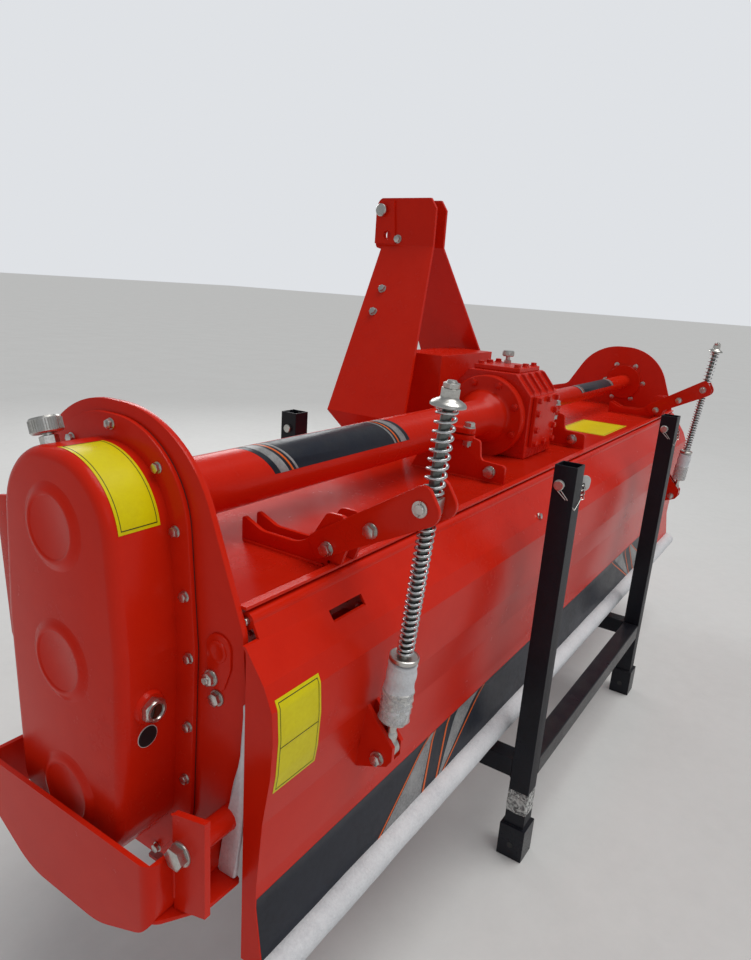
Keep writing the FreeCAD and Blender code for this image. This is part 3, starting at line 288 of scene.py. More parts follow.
# a flat face from corners (u, v) or (u, v, radius), each radius spun as an arc
def drawOutline(part, corners, arcSteps=10):
    first = last = None
    points = [Vector((*corner[:2], 0)) / 1000 for corner in corners]
    for i, corner in enumerate(corners):
        here = points[i]
        radius = corner[2] / 1000 if len(corner) > 2 else 0
        if radius:
            back = (points[i - 1] - here).normalized()
            ahead = (points[(i + 1) % len(points)] - here).normalized()
            half = back.angle(ahead) / 2
            centre = here + (back + ahead).normalized() * radius / math.sin(half)
            bend = math.copysign(math.pi - 2 * half, back.cross(ahead).z * -1)
            here = here + back * radius / math.tan(half)
        start = part.verts.new(here)
        if last is not None:
            part.edges.new((last, start))
        first = first or start
        last = start
        if radius:
            last = only(spin(part, [start], bend, arcSteps, centre), vertKind)[0]
    part.edges.new((last, first))
    bmesh.ops.remove_doubles(part, verts=part.verts, dist=0.000005)
    bmesh.ops.edgeloop_fill(part, edges=part.edges[:])


# draws faces out along a move and returns the new faces and corners
def grow(part, faces, move=(0, 0, 0)):
    grown = bmesh.ops.extrude_face_region(part, geom=faces)["geom"]
    verts = only(grown, vertKind)
    bmesh.ops.translate(part, vec=Vector(move) / 1000, verts=verts)
    return only(grown, faceKind), verts


def roundEdges(part, edges, width, segments=2):
    bmesh.ops.bevel(part, geom=edges, offset=width / 1000, offset_type="OFFSET", segments=segments, profile=0.5,
                    affect="EDGES", clamp_overlap=True, material=-1)


def sharpEdges(part, least=50):
    return [edge for edge in part.edges if edge.is_manifold and edge.calc_face_angle(0) > math.radians(least)]


def addPlate(bm, corners, thick, place, edge=0.0, arcSteps=10):
    part = bmesh.new()
    drawOutline(part, corners, arcSteps)
    grow(part, part.faces[:], (0, 0, thick))
    if edge:
        roundEdges(part, sharpEdges(part), edge)
    absorb(bm, part, place)


# a round piece: (radius, height) pairs turned about the place's own Z
def addTurned(bm, profile, place, steps=32):
    part = bmesh.new()
    verts = [part.verts.new((radius / 1000, 0, height / 1000)) for radius, height in profile]
    edges = [part.edges.new(pair) for pair in zip(verts, verts[1:])]
    spin(part, verts + edges, 2 * math.pi, steps, merge=True)
    bmesh.ops.remove_doubles(part, verts=part.verts, dist=0.000002)
    absorb(bm, part, place)


def addDisc(bm, radius, low, high, place, steps=32):
    addTurned(bm, [(0, low), (radius, low), (radius, high), (0, high)], place, steps)


def addSleeve(bm, inner, outer, low, high, place, steps=28):
    addTurned(bm, [(inner, low), (outer, low), (outer, high), (inner, high), (inner, low)], place, steps)


def addRod(bm, radius, start, end, steps=24, edge=0.6):
    length = (end - start).length * 1000
    addTurned(bm, [(0, 0), (radius - edge, 0), (radius, edge), (radius, length - edge), (radius - edge, length),
                   (0, length)], facing(start, end - start), steps)


# the round section of a wire, in metres, at a radius from the Z axis
def wireSection(part, radius, wire, wireSides):
    start = turned(Matrix.Translation((radius, 0, 0)), quarter, "X")
    bmesh.ops.create_circle(part, cap_ends=False, segments=wireSides, radius=wire / 2, matrix=start)
    return part.edges[:]


# wire bent round part of a circle in the place's own XY plane
def addWireArc(bm, place, radius, wire, degrees=360, steps=28, wireSides=8):
    part = bmesh.new()
    closed = degrees >= 360
    spin(part, wireSection(part, radius / 1000, wire / 1000, wireSides), math.radians(degrees), steps, merge=closed)
    if not closed:
        closeEnds(part)
    absorb(bm, part, place)


boltSizes = {
    # thread: across corners, head height, washer radius, washer thickness, thread radius
    "M8": (7.3, 5.3, 8.5, 1.6, 4), "M10": (9.2, 6.4, 10.5, 2, 5), "M12": (10.4, 7.5, 12.5, 2.5, 6),
    "M16": (13.5, 10, 15.5, 3, 8), "M20": (16.8, 12.5, 18.5, 3, 10),
}


def addHex(bm, place, corner, height, lift=0.0):
    part = bmesh.new()
    bmesh.ops.create_cone(part, cap_ends=True, segments=6, radius1=corner / 1000, radius2=corner / 1000,
                          depth=height / 1000, matrix=Matrix.Translation((0, 0, (lift + height / 2) / 1000)))
    top = [face for face in part.faces
           if len(face.verts) == 6 and face.calc_center_median().z > (lift + height * 0.9) / 1000]
    bmesh.ops.inset_region(part, faces=top, thickness=corner * 0.13 / 1000, depth=0)
    bmesh.ops.translate(part, vec=(0, 0, corner * 0.07 / 1000), verts=top[0].verts)
    absorb(bm, part, place)


# a hexagon head on its washer, or a nut with the end of its thread
def addBolt(bm, place, size, turn=0.3, nut=False):
    corner, head, ring, lift, thread = boltSizes[size]
    place = turned(place, turn, "Z")
    addTurned(bm, [(0, 0), (ring, 0), (ring, lift * 0.7), (ring - 0.5, lift), (0, lift)], place, 24)
    addHex(bm, place, corner, head, lift)
    if nut:
        low = lift + head
        addTurned(bm, [(0, low), (thread, low), (thread, low + 3.5), (thread - 1.2, low + 4.7), (0, low + 4.7)],
                  place, 14)


# a weld bead: overlapping ripples along a straight run
def addBead(bm, start, end, radius=3.0, ripple=4.0):
    run = end - start
    steps = max(2, int(run.length * 1000 / ripple))
    pitch = run.length / (2 * steps)
    part = bmesh.new()
    bmesh.ops.create_circle(part, cap_ends=False, segments=7, radius=radius * 0.7 / 1000)
    ring = part.edges[:]
    for k in range(2 * steps):
        grown = bmesh.ops.extrude_edge_only(part, edges=ring)["geom"]
        verts = only(grown, vertKind)
        ring = [edge for edge in only(grown, edgeKind) if edge.is_boundary]
        bmesh.ops.translate(part, vec=(0, 0, pitch), verts=verts)
        swell = 1.3 if k % 2 == 0 else 1 / 1.3
        bmesh.ops.scale(part, vec=(swell, swell, 1), space=Matrix.Translation((0, 0, -pitch * (k + 1))), verts=verts)
    closeEnds(part)
    absorb(bm, part, facing(start, run))


# a thin film on a surface, its sides running from one pair of u at its top to another at its foot
def addFilm(bm, surface, high, low, topPair, footPair, lift, across=2, up=10):
    part = bmesh.new()
    bmesh.ops.create_grid(part, x_segments=across, y_segments=up, size=0.5)
    for vert in part.verts:
        share, along = vert.co.y + 0.5, vert.co.x + 0.5
        start = footPair[0] + (topPair[0] - footPair[0]) * share
        end = footPair[1] + (topPair[1] - footPair[1]) * share
        vert.co = surface(start + (end - start) * along, low + (high - low) * share, lift)
    bmesh.ops.solidify(part, geom=part.faces[:], thickness=0.0003)
    absorb(bm, part)


# moves every corner along its normal by smooth noise
def crumple(bm, scale, amount):
    bmesh.ops.recalc_face_normals(bm, faces=bm.faces)
    bm.normal_update()
    for vert in bm.verts:
        vert.co += vert.normal * noise.noise(vert.co * scale) * amount / 1000


print("helpers ready")


# CAD parts that keep their shape: a merged copy of each, with its edges rounded

slotOf = {part["node"]: part["material_slot"] for part in frame["record"]["subparts"]}
bodyOf = {node: body for body, members in frame["record"]["behaviour"]["bodies"].items() for node in members}
remade = ("gear_cover", "side_plate", "tube_", "rotor", "spring_rod", "spring_upper", "spring_lower", "trunnion",
          "foam_", "mast_pin", "pto_shaft", "spring_arms")
edgeRound = {
    # start of the node's name: width in mm, segments, least angle that is rounded, least angle that stays sharp
    "gearbox_": (2.5, 2, 32, 32), "gearbox": (7, 4, 32, 32), "gear_guard": (1.6, 2, 32, 32),
    "stand_post": (1.2, 2, 32, 32), "stand": (3.5, 3, 32, 32), "deck": (1, 2, 50, 20), "board": (2, 3, 40, 9),
    "front_beam": (5, 3, 32, 32), "front_flap": (1, 1, 50, 9), "pto_shield": (1.2, 2, 32, 32),
    "mast_plate": (1.6, 2, 50, 20), "lower_hitches": (2.5, 2, 32, 32), "": (1.6, 2, 32, 32),
}


def roundedCopy(node):
    bm = bmesh.new()
    bm.from_mesh(frame["nodes"][node].data)
    bmesh.ops.remove_doubles(bm, verts=bm.verts, dist=0.00002)
    bmesh.ops.dissolve_limit(bm, angle_limit=math.radians(0.6), verts=bm.verts, edges=bm.edges)
    width, segments, angle, crease = next(look for start, look in edgeRound.items() if node.startswith(start))
    finish = "castRed" if node == "gearbox" else slotFinish[slotOf[node]]
    piece = finishPiece(node + "_rounded", bm, finish, bodyOf[node], crease, width, segments, angle)
    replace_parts(piece, node)


for node in sorted(frame["nodes"]):
    if not node.startswith(remade):
        roundedCopy(node)
print("part copies rounded")


# gear cover: bolted flange, pressed housing with a soft rim and three raised rounds

cover = {"skin": -1325, "seamShade": 2.5, "flange": 10, "flangeWide": 37, "depth": 96, "mid": 20, "crownY": 10, "crown": 112,
         "top": 1106, "half": 134, "belly": 828, "foot": 528, "rim": 17, "root": 7, "rounds": (997, 795, 575)}
coverFace = cover["skin"] - cover["flange"]


def coverOutline(out):
    mid, half, foot, belly = cover["mid"], cover["half"] + out, cover["foot"], cover["belly"]
    crown, top, toe = cover["crown"] + out, cover["top"] + out, cover["foot"] - 62 - out
    return [(mid - crown, top, crown), (mid - half, belly), (mid - half + 12, foot, 60 + out), (mid - 76, toe),
            (mid + 76, toe), (mid + half - 6, foot, 60 + out), (mid + half, belly), (mid + crown, top, crown)]


def makeGearCover():
    bm, part, seamShade = bmesh.new(), bmesh.new(), bmesh.new()
    base, high = cover["skin"] - cover["seamShade"], cover["seamShade"] - cover["flange"]
    drawOutline(part, coverOutline(cover["flangeWide"]), 16)
    lid = [face for face in grow(part, part.faces[:], (0, 0, high))[0] if abs(face.normal.z) > 0.9]
    bmesh.ops.inset_region(part, faces=lid, thickness=cover["flangeWide"] / 1000, depth=0, use_even_offset=True)
    top = [face for face in grow(part, lid, (0, 0, -cover["depth"]))[0] if abs(face.normal.z) > 0.9]
    roundEdges(part, list(top[0].edges), cover["rim"], 5)
    flangeTop, mid = high / 1000, cover["mid"] / 1000
    root = [edge for edge in part.edges if edge.is_manifold and all(abs(v.co.z - flangeTop) < 1e-6 for v in edge.verts)
            and edge.calc_face_angle(0) > 0.9 and min(abs(v.co.x - mid) for v in edge.verts) < 0.14
            and not any(abs(face.calc_center_median().z) < abs(flangeTop) for face in edge.link_faces)]
    roundEdges(part, root, cover["root"], 3)
    roundEdges(part, [edge for edge in sharpEdges(part) if all(v.co.z > flangeTop - 1e-6 for v in edge.verts)], 1.2)
    absorb(bm, part, sideFrame(base))
    soft = [(0, -3), (66, -3), (65, -0.3), (61, 0.7), (57, 2.8), (53, 5), (49.5, 6), (47, 5.9), (45.6, 5.2), (45, 4.4),
            (44, 4), (0, 4)]
    for z in cover["rounds"]:
        addTurned(bm, soft, seat(coverFace - cover["depth"], cover["mid"], z, -xAxis), 56)
    piece = finishPiece("gear_cover_shell", bm, "redPaint", "root")
    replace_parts(piece, "gear_cover")
    # the pressed crease where the housing is widest
    verts, belly = piece.data.vertices, cover["belly"] / 1000
    for edge in piece.data.edges:
        start, end = (verts[index].co for index in edge.vertices)
        if (start - end).length > 0.03 and max(abs(start.z - belly), abs(end.z - belly)) < 0.012:
            edge.use_edge_sharp = True
    # a near-black sheet under the flange, inset 2 mm from its edge: painted shade of the seam between the flange and
    # the side plate
    addPlate(seamShade, coverOutline(cover["flangeWide"] - 2), cover["seamShade"] + 0.2, sideFrame(base - 0.1), arcSteps=16)
    finishPiece("gear_cover_seam_shade", seamShade, "rubberAndShade", "root")


makeGearCover()
print("gear cover made")


# side plates, the right one with its bearing cap and shoe

plate = {"half": 1325, "thick": 10, "cap": 70, "capOut": 40, "rotorHigh": 588, "tubeHigh": 1010}
plateOutline = [(-123, 1160, 190), (-233, 880, 60), (-240, 785), (-230, 564), (-195, 488, 20), (-110, 424, 30),
                (130, 424, 30), (225, 488, 30), (324, 650, 20), (340, 690), (354, 912), (354, 948, 5), (324, 954, 10),
                (253, 972, 40), (143, 1160, 190)]
shoeOutline = [(-110, 450, 8), (-100, 420, 8), (100, 420, 8), (110, 450, 8)]
wallIn = plate["half"] - plate["thick"]


def makeSidePlates():
    left, right = bmesh.new(), bmesh.new()
    addPlate(left, plateOutline, plate["thick"], sideFrame(-plate["half"]), 1.0, 18)
    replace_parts(finishPiece("side_plate_left_sheet", left, "redPaint", "root"), "side_plate_left")
    addPlate(right, plateOutline, plate["thick"], sideFrame(wallIn), 1.0, 18)
    ring, out = plate["cap"], plate["capOut"]
    addTurned(right, [(0, 0), (ring, 0), (ring, 9), (ring - 2, 11), (ring - 13, 12), (ring - 17, 15), (ring - 18, 34),
                      (ring - 22, 38), (ring - 30, out), (0, out)], seat(plate["half"], 0, plate["rotorHigh"], xAxis), 48)
    addPlate(right, shoeOutline, plate["thick"] - 1, sideFrame(plate["half"]), 1.5)
    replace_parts(finishPiece("side_plate_right_sheet", right, "redPaint", "root"), "side_plate_right")


makeSidePlates()
print("side plates made")


# main tubes with their hubs, gearbox flanges and clamps

tubes = {"left": dict(radius=50, hub=74, hubLong=55, clamp=-403), "right": dict(radius=30, hub=60, hubLong=16, clamp=194)}
flange = {"radius": 115, "rim": 28, "half": 130, "deck": 904, "tubeLong": 1185}
clampOutline = [(-198, 904), (-198, 950, 10), (-132, 954, 12), (-126, 1000, 10), (0, 1024), (60, 904)]
earOutline = [(-16, 0), (-16, -108, 15), (16, -108, 15), (16, 0)]


def makeTube(side):
    size = tubes[side]
    big, rim, hub, pipe, clamp = flange["radius"], flange["rim"], size["hub"], size["radius"], size["clamp"]
    hubEnd, end = rim + size["hubLong"], rim + flange["tubeLong"]
    profile = [(0, 0), (big - 2, 0), (big, 2), (big, 11), (big - 2.5, 12.5), (big - 2.5, 15), (big, 16.5), (big, rim - 3),
               (big - 3, rim), (hub + 9, rim), (hub + 3, rim + 2)]
    for step in range(7):
        share = step / 6
        ease = 0.5 - 0.5 * math.cos(math.pi * share)
        profile.append((hub + (pipe + 1.5 - hub) * ease, rim + 5 + (hubEnd - rim - 7) * share))
    profile += [(pipe, hubEnd), (pipe, end), (0, end)]
    bm = bmesh.new()
    addTurned(bm, profile, seat(sides[side] * (flange["half"] - rim), 0, plate["tubeHigh"], xAxis * sides[side]), 64)
    cut = bmesh.ops.bisect_plane(bm, geom=bm.verts[:] + bm.edges[:] + bm.faces[:], dist=0.000001,
                                 plane_co=at(0, 0, flange["deck"]), plane_no=zAxis, clear_inner=True)
    bmesh.ops.edgeloop_fill(bm, edges=only(cut["geom_cut"], edgeKind))
    if side == "right":
        addTurned(bm, [(0, 0), (72, 0), (72, 10.5), (70.5, 12), (0, 12)], seat(wallIn, 0, plate["tubeHigh"], -xAxis), 48)
    addPlate(bm, clampOutline, 10, sideFrame(clamp - 5), 1.0)
    for low in (996, 1013):
        addPlate(bm, earOutline, 13, topFrame(clamp, 0, low), 1.5)
    for x in (clamp - 5, clamp + 5):
        addBead(bm, at(x, -196, 905), at(x, 58, 905), 3.2)
    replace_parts(finishPiece("main_tube_" + side, bm, "redPaint", "root"), "tube_" + side)


for side in sides:
    makeTube(side)
print("main tubes made")


# spring arms: curved gussets on the deck and rounded plates out to the trunnions

arms = {"x": 1085, "gap": 44, "thick": 8, "root": (-208, 940), "end": (-369, 1041), "wide": 31}
gussetOutline = [(-20, 950, 5), (-20, 904), (-201, 904), (-215, 915), (-231, 915, 4), (-247, 962, 16), (-238, 996, 17),
                 (-200, 996, 15), (-160, 931, 60), (-66, 931, 40)]


def makeArms():
    root, end = Vector(arms["root"]), Vector(arms["end"])
    half, thick, wide = arms["gap"] / 2, arms["thick"], arms["wide"]
    along = (end - root).normalized()
    up = Vector((along.y, -along.x))
    root, end = root - along * 28, end + along * 27
    corners = ((root - up * 11, 6), (end - up * wide, 22), (end + up * wide, 16), (root + up * wide, 10))
    bm = bmesh.new()
    for side in sides.values():
        middle = side * arms["x"]
        for x in (middle - half, middle + half - thick):
            addPlate(bm, gussetOutline, thick, sideFrame(x), 1, 12)
        for x in (middle - half - thick, middle + half):
            addPlate(bm, [(*corner, radius) for corner, radius in corners], thick, sideFrame(x), 1)
    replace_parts(finishPiece("spring_arm_plates", bm, "redPaint", "root"), "spring_arms")


makeArms()
print("spring arms made")


# rotor: tube, round flanges and bent blades bolted on in a spiral

rotorSize = {"tube": 44.5, "tubeHalf": 1303, "stub": 22.5, "stubHalf": 1313, "flange": 105, "flangeThick": 10,
             "first": -1215, "step": 243, "count": 11, "turn": 17, "blades": 6}
blade = {"inner": 5, "thick": 8, "wide": 44, "root": 58, "reach": 243, "bend": 17, "tip": 81}


def makeBlade(side):
    # drawn along local Z from the rotor's axis and bent toward the given side
    inner, thick, root, bend = blade["inner"], blade["thick"], blade["root"], blade["bend"]
    straight, foot = blade["reach"] - thick - bend, blade["tip"] - inner - thick - bend
    part = bmesh.new()
    bmesh.ops.create_grid(part, x_segments=1, y_segments=3, size=0.5)
    start = shifted(Matrix.Identity(4), inner + thick / 2, 0, root)
    bmesh.ops.transform(part, verts=part.verts, matrix=start @ Matrix.Diagonal((thick / 1000, blade["wide"] / 1000, 1, 1)))
    faces = grow(part, part.faces[:], (0, 0, 60))[0]
    faces = grow(part, faces, (0, 2, straight - root - 60))[0]
    centre = Vector((inner + thick + bend, 0, straight)) / 1000
    for _ in range(6):
        faces, verts = grow(part, faces)
        bmesh.ops.rotate(part, cent=centre, matrix=Matrix.Rotation(math.radians(14), 3, "Y"), verts=verts)
    faces, mid = grow(part, faces, (foot * 0.6, 0, foot * -0.06))
    end = grow(part, faces, (foot * 0.38, 3, foot * -0.038))[1]
    bmesh.ops.scale(part, vec=(1, 0.72, 0.9), verts=end, space=Matrix.Translation((0, 0.006, -0.236)))
    for vert in mid + end:
        if vert.co.y > 0.012 and vert.co.z < 0.2385:
            vert.co.z += 0.0025
    if side < 0:
        bmesh.ops.mirror(part, geom=part.verts[:] + part.edges[:] + part.faces[:], axis="X", merge_dist=0)
        bmesh.ops.delete(part, geom=[vert for vert in part.verts if vert.co.x > 0.0001], context="VERTS")
    return part


def makeRotor():
    star, bm = bmesh.new(), bmesh.new()
    half, ring = rotorSize["flangeThick"] / 2, rotorSize["flange"]
    alongX = Matrix.Rotation(quarter, 4, "Y")
    addTurned(star, [(0, -half), (ring - 1, -half), (ring, -half + 1), (ring, half - 1), (ring - 1, half), (0, half)],
              alongX, 48)
    for k in range(rotorSize["blades"]):
        side = 1 if k % 2 == 0 else -1
        turn = Matrix.Rotation(2 * math.pi * k / rotorSize["blades"], 4, "X")
        absorb(star, makeBlade(side), turn)
        for z in (68, 94):
            for y in (-11, 11):
                head, back = Vector((side * (half + blade["thick"]), y, z)), Vector((-side * half, y, z))
                addHex(star, turn @ facing(head / 1000, xAxis * side), 9.2, 6.4)
                addHex(star, turn @ facing(back / 1000, xAxis * -side), 9.2, 8)
    mesh = bpy.data.meshes.new("star")
    bmesh.ops.recalc_face_normals(star, faces=star.faces)
    star.to_mesh(mesh)
    star.free()
    axle = at(0, 0, plate["rotorHigh"])
    mesh.transform(Matrix.Translation(axle + xAxis * rotorSize["first"] / 1000))
    onward = Matrix.Translation(axle + xAxis * rotorSize["step"] / 1000)
    onward = turned(onward, math.radians(rotorSize["turn"]), "X") @ Matrix.Translation(-axle)
    for _ in range(rotorSize["count"]):
        bm.from_mesh(mesh)
        mesh.transform(onward)
    bpy.data.meshes.remove(mesh)
    long, end, pipe, stub = rotorSize["tubeHalf"], rotorSize["stubHalf"], rotorSize["tube"], rotorSize["stub"]
    addTurned(bm, [(0, -end), (stub, -end), (stub, -long), (pipe - 1, -long), (pipe, -long + 1), (pipe, long - 1),
                   (pipe - 1, long), (stub, long), (stub, end), (0, end)], Matrix.Translation(axle) @ alongX, 40)
    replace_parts(finishPiece("rotor_blades", bm, "rotorPaint", "rotor", 38), "rotor")


makeRotor()
print("rotor made")


# springs: round wire wound on the rods, with closed ends

springs = {"wire": 4.6, "sides": 10, "perTurn": 28, "turns": {"upper": 10.5, "lower": 24}}
rods = {"x": 1085, "y": -369, "z": 1041, "radius": 8, "eye": -422.5, "thread": 118, "top": 182, "dome": 146, "cup": -252}


def windSpring(end, side, along):
    node = "spring_" + end + "_" + side
    low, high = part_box(node)
    wire = springs["wire"] / 1000
    length = (high.z - low.z) * 0.985
    bm = bmesh.new()
    last = wireSection(bm, (high.x - low.x - wire) / 2, wire, springs["sides"])
    for count, rise in ((1, wire), (springs["turns"][end] - 2, length - wire * 3), (1, wire)):
        steps = int(springs["perTurn"] * count)
        last = only(spin(bm, last, 2 * math.pi * count, steps, rise=rise / steps), edgeKind)
    closeEnds(bm)
    bmesh.ops.recalc_face_normals(bm, faces=bm.faces)
    bottom = (low + high) / 2 - along * (length - wire) / 2
    bmesh.ops.transform(bm, matrix=facing(bottom, along), verts=bm.verts)
    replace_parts(finishPiece("wire_" + end + "_" + side, bm, "springSteel", "rod_" + side, 60), node)


# spring rods: threaded end with two nuts, dome washer, spring cup and eye

def makeRod(side, place):
    bm, thread = bmesh.new(), bmesh.new()
    radius, height, top, dome, cup = (rods[key] for key in ("radius", "thread", "top", "dome", "cup"))
    profile = [(0, rods["eye"] + 8), (radius, rods["eye"] + 8), (radius, height)]
    while height < top - 4:
        profile += [(radius - 1.1, height + 0.9), (radius, height + 1.8)]
        height += 2.2
    addTurned(bm, profile + [(radius - 1.8, top), (0, top)], place, 20)
    addTurned(bm, [(8, dome + 1), (23, dome + 1), (25, dome), (26, dome + 0.6), (26, dome + 2.5), (24, dome + 5.5),
                   (19, dome + 8.5), (14.5, dome + 10.5), (13, dome + 13), (8, dome + 13), (8, dome + 1)], place, 36)
    addHex(bm, turned(place, 0.35, "Z"), 13.2, 12, dome + 13)
    addHex(bm, turned(place, 0.8, "Z"), 12.4, 6, dome + 26)
    addTurned(bm, [(8, cup), (21, cup), (22.5, cup + 1.5), (24, cup + 0.5), (24, cup - 5.5), (22, cup - 8), (8, cup - 8),
                   (8, cup)], place, 36)
    eye = shifted(place, 0, 0, rods["eye"])
    addTurned(bm, [(0, 0), (15.5, 0), (17, 1.5), (17, 12.5), (15.5, 14), (0, 14)],
              shifted(turned(eye, quarter, "Y"), 0, 0, -7))
    addTurned(bm, [(0, 8), (11, 8), (11, 24), (8, 30), (0, 30)], eye, 24)
    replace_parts(finishPiece("spring_rod_turned_" + side, bm, "zinc", "rod_" + side), "spring_rod_" + side)
    # darker steel sleeves over the rod where it lies inside each spring: painted shade of the coils
    for low, high in ((20, 142), (-248, -20)):
        addSleeve(thread, 7.6, 8.3, low, high, place, 24)
    finishPiece("rod_spring_shade_" + side, thread, "rodShadeSteel", "rod_" + side)


# the corners of a square, each rounded
def square(half, radius):
    return [(-half, -half, radius), (half, -half, radius), (half, half, radius), (-half, half, radius)]


# trunnions: block with its collars, pin, washers and split pins

def makeTrunnion(side, place):
    bm = bmesh.new()
    flat = turned(place, quarter, "Y")
    addPlate(bm, square(15, 4), 26, shifted(place, 0, 0, -13), 1.2)
    for low, high in ((12.5, 14), (-14, -12.5)):
        addSleeve(bm, 8.6, 13, low, high, place)
    addTurned(bm, [(0, -36), (7, -36), (8, -35), (8, 35), (7, 36), (0, 36)], flat, 24)
    for low, high in ((30.3, 32.8), (-32.8, -30.3)):
        addSleeve(bm, 8, 12.5, low, high, flat)
    for end in (-34.3, 34.3):
        addWireArc(bm, turned(shifted(flat, 8.5, 0, end), quarter, "X"), 3, 1.8, 360, 12, 6)
        addRod(bm, 1.2, shifted(flat, -13, 0, end).translation, shifted(flat, 8, 0, end).translation, 8, 0.3)
    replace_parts(finishPiece("trunnion_block_" + side, bm, "zinc", "pivot_" + side), "trunnion_" + side)


# foam: wraps on the rods, taped below, and the sleeve on the board's foot

foam = {"wrap": 24.5, "wrapFrom": -372.5, "wrapTo": -262, "sleeve": 26.5, "bore": 9, "sleeveHalf": 1336,
        "sleeveY": -297, "sleeveZ": 339}


def makeWrap(side, place):
    bm, tape = bmesh.new(), bmesh.new()
    low, high, wide = foam["wrapFrom"], foam["wrapTo"], foam["wrap"]
    profile = [(8.6, high), (wide - 3, high), (wide - 0.6, high - 3)]
    height = high - 7
    while height > low + 4:
        profile.append((wide - 1.4 * math.sin(height * 0.11) ** 2, height))
        height -= 4
    addTurned(bm, profile + [(wide - 4, low + 1), (8.6, low + 1), (8.6, high)], place)
    crumple(bm, 55, 1.4)
    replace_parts(finishPiece("foam_wrap_soft_" + side, bm, "whiteFoam", "rod_" + side, 50), "foam_wrap_" + side)
    profile = [(wide - 2, low + 62), (wide + 1, low + 60)]
    for step in range(14):
        profile.append((wide + (1.6 if step % 3 == 0 else 0.6), low + 56 - step * 4))
    addTurned(tape, profile + [(wide - 5, low + 0.5), (wide - 6, low + 3), (wide - 2, low + 62)], place, 26)
    crumple(tape, 120, 2.2)
    finishPiece("foam_wrap_tape_" + side, tape, "clearTape", "rod_" + side, 24)


def makeSleeve():
    bm = bmesh.new()
    half, wide, bore = foam["sleeveHalf"], foam["sleeve"], foam["bore"]
    profile = [(0, -half + 40), (bore, -half + 40), (bore + 2, -half), (wide - 1, -half), (wide, -half + 2)]
    for reach in range(-half + 14, half - 10, 22):
        profile.append((wide - 0.5 - 0.5 * math.sin(reach * 0.021) * math.sin(reach * 0.0073), reach))
    profile += [(wide, half - 2), (wide - 1, half), (bore + 2, half), (bore, half - 40), (0, half - 40)]
    addTurned(bm, profile, seat(0, foam["sleeveY"], foam["sleeveZ"], xAxis))
    crumple(bm, 22, 0.9)
    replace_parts(finishPiece("foam_sleeve_pipe", bm, "whiteFoam", "board", 50), "foam_sleeve")


for side in sides:
    rodAlong = Vector(joints["rod_slide_" + side]["axis"]).normalized()
    rodPlace = laidAlong(at(sides[side] * rods["x"], rods["y"], rods["z"]), xAxis, rodAlong.cross(xAxis))
    windSpring("upper", side, rodAlong)
    windSpring("lower", side, rodAlong)
    makeRod(side, rodPlace)
    makeTrunnion(side, rodPlace)
    makeWrap(side, rodPlace)
makeSleeve()
print("spring rods and foam made")


# pins and shaft: upper link pin with its linch pin, splined input shaft

mastPin = {"y": 440, "z": 1560, "linchX": 61, "linchLean": (0, -0.35, 1)}


def makeMastPin():
    bm = bmesh.new()
    addTurned(bm, [(0, -56), (16, -56), (18, -54), (18, -49), (12.5, -47), (12.5, 69), (10, 72), (0, 72)],
              seat(0, mastPin["y"], mastPin["z"], xAxis))
    linch = seat(mastPin["linchX"], mastPin["y"], mastPin["z"], mastPin["linchLean"])
    addTurned(bm, [(0, -17), (2, -17), (3, -15), (3, 11), (6, 13), (6, 20), (3, 22), (0, 22)], linch, 14)
    # the spring ring, hinged at the linch pin's head
    ring = turned(shifted(linch, 0, 0, 17), math.radians(80), "X")
    addWireArc(bm, shifted(ring, 0, -17, 0), 17, 3.2, 360, 26, 7)
    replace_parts(finishPiece("mast_pin_turned", bm, "zinc", "root"), "mast_pin")


def makeShaft():
    bm = bmesh.new()
    place = seat(0, 172, plate["tubeHigh"], yAxis)
    outline = []
    for middle in range(0, 360, 60):
        for turn, radius in ((-17, 14.2), (-16, 17.4), (-6, 17.45), (6, 17.45), (16, 17.4), (17, 14.2)):
            angle = math.radians(middle + turn)
            outline.append((math.cos(angle) * radius, math.sin(angle) * radius))
    addPlate(bm, outline, 86, place)
    addPlate(bm, outline, 36, shifted(place, 0, 0, 93.5), 0.5)
    addTurned(bm, [(0, 0), (20, 0), (20, 4), (14, 6), (13.2, 86), (13.2, 94), (13.5, 128.5), (12, 130), (0, 130)], place)
    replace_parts(finishPiece("input_shaft_splined", bm, "bareSteel", "pto", 30), "pto_shaft")


makeMastPin()
makeShaft()
print("pins and shaft made")


# surfaces that films and labels lie on: u and v in millimetres, lift off the surface

boardLine = [(872, -248), (825, -282), (791, -297), (745, -300), (688, -297), (608, -285), (499, -277), (457, -276),
             (369, -289), (345, -292)]


def onBoard(x, z, lift):
    z = min(max(z, boardLine[-1][0]), boardLine[0][0])
    (highZ, highY), (lowZ, lowY) = next(pair for pair in zip(boardLine, boardLine[1:]) if z >= pair[1][0])
    slope = (lowY - highY) / (lowZ - highZ)
    return at(x, highY + (z - highZ) * slope, z) + Vector((0, -1, slope)).normalized() * lift / 1000


def onRound(radius, y, z):
    def surface(x, along, lift):
        angle = along / radius
        return at(x, y - (radius + lift) * math.sin(angle), z + (radius + lift) * math.cos(angle))
    return surface


def onDeck(x, y, lift):
    return at(x, y, flange["deck"] + lift)


onTube = {side: onRound(tubes[side]["radius"], 0, plate["tubeHigh"]) for side in tubes}
onCrown = onRound(cover["crown"], cover["crownY"], cover["top"] - cover["crown"])


# labels, left blank, and the dark bands with their slanted stripes

labels = {
    # name: surface, low u, high u, low v, high v, body
    "cover": (onCrown, -1416, -1349, -10, 160, "root"),
    "board": (onBoard, -1325, -1232, 658, 804, "board"),
    "deck": (onDeck, 478, 762, -178, -14, "root"),
}
labelLine = {"inset": 4.5, "wide": 0.9}


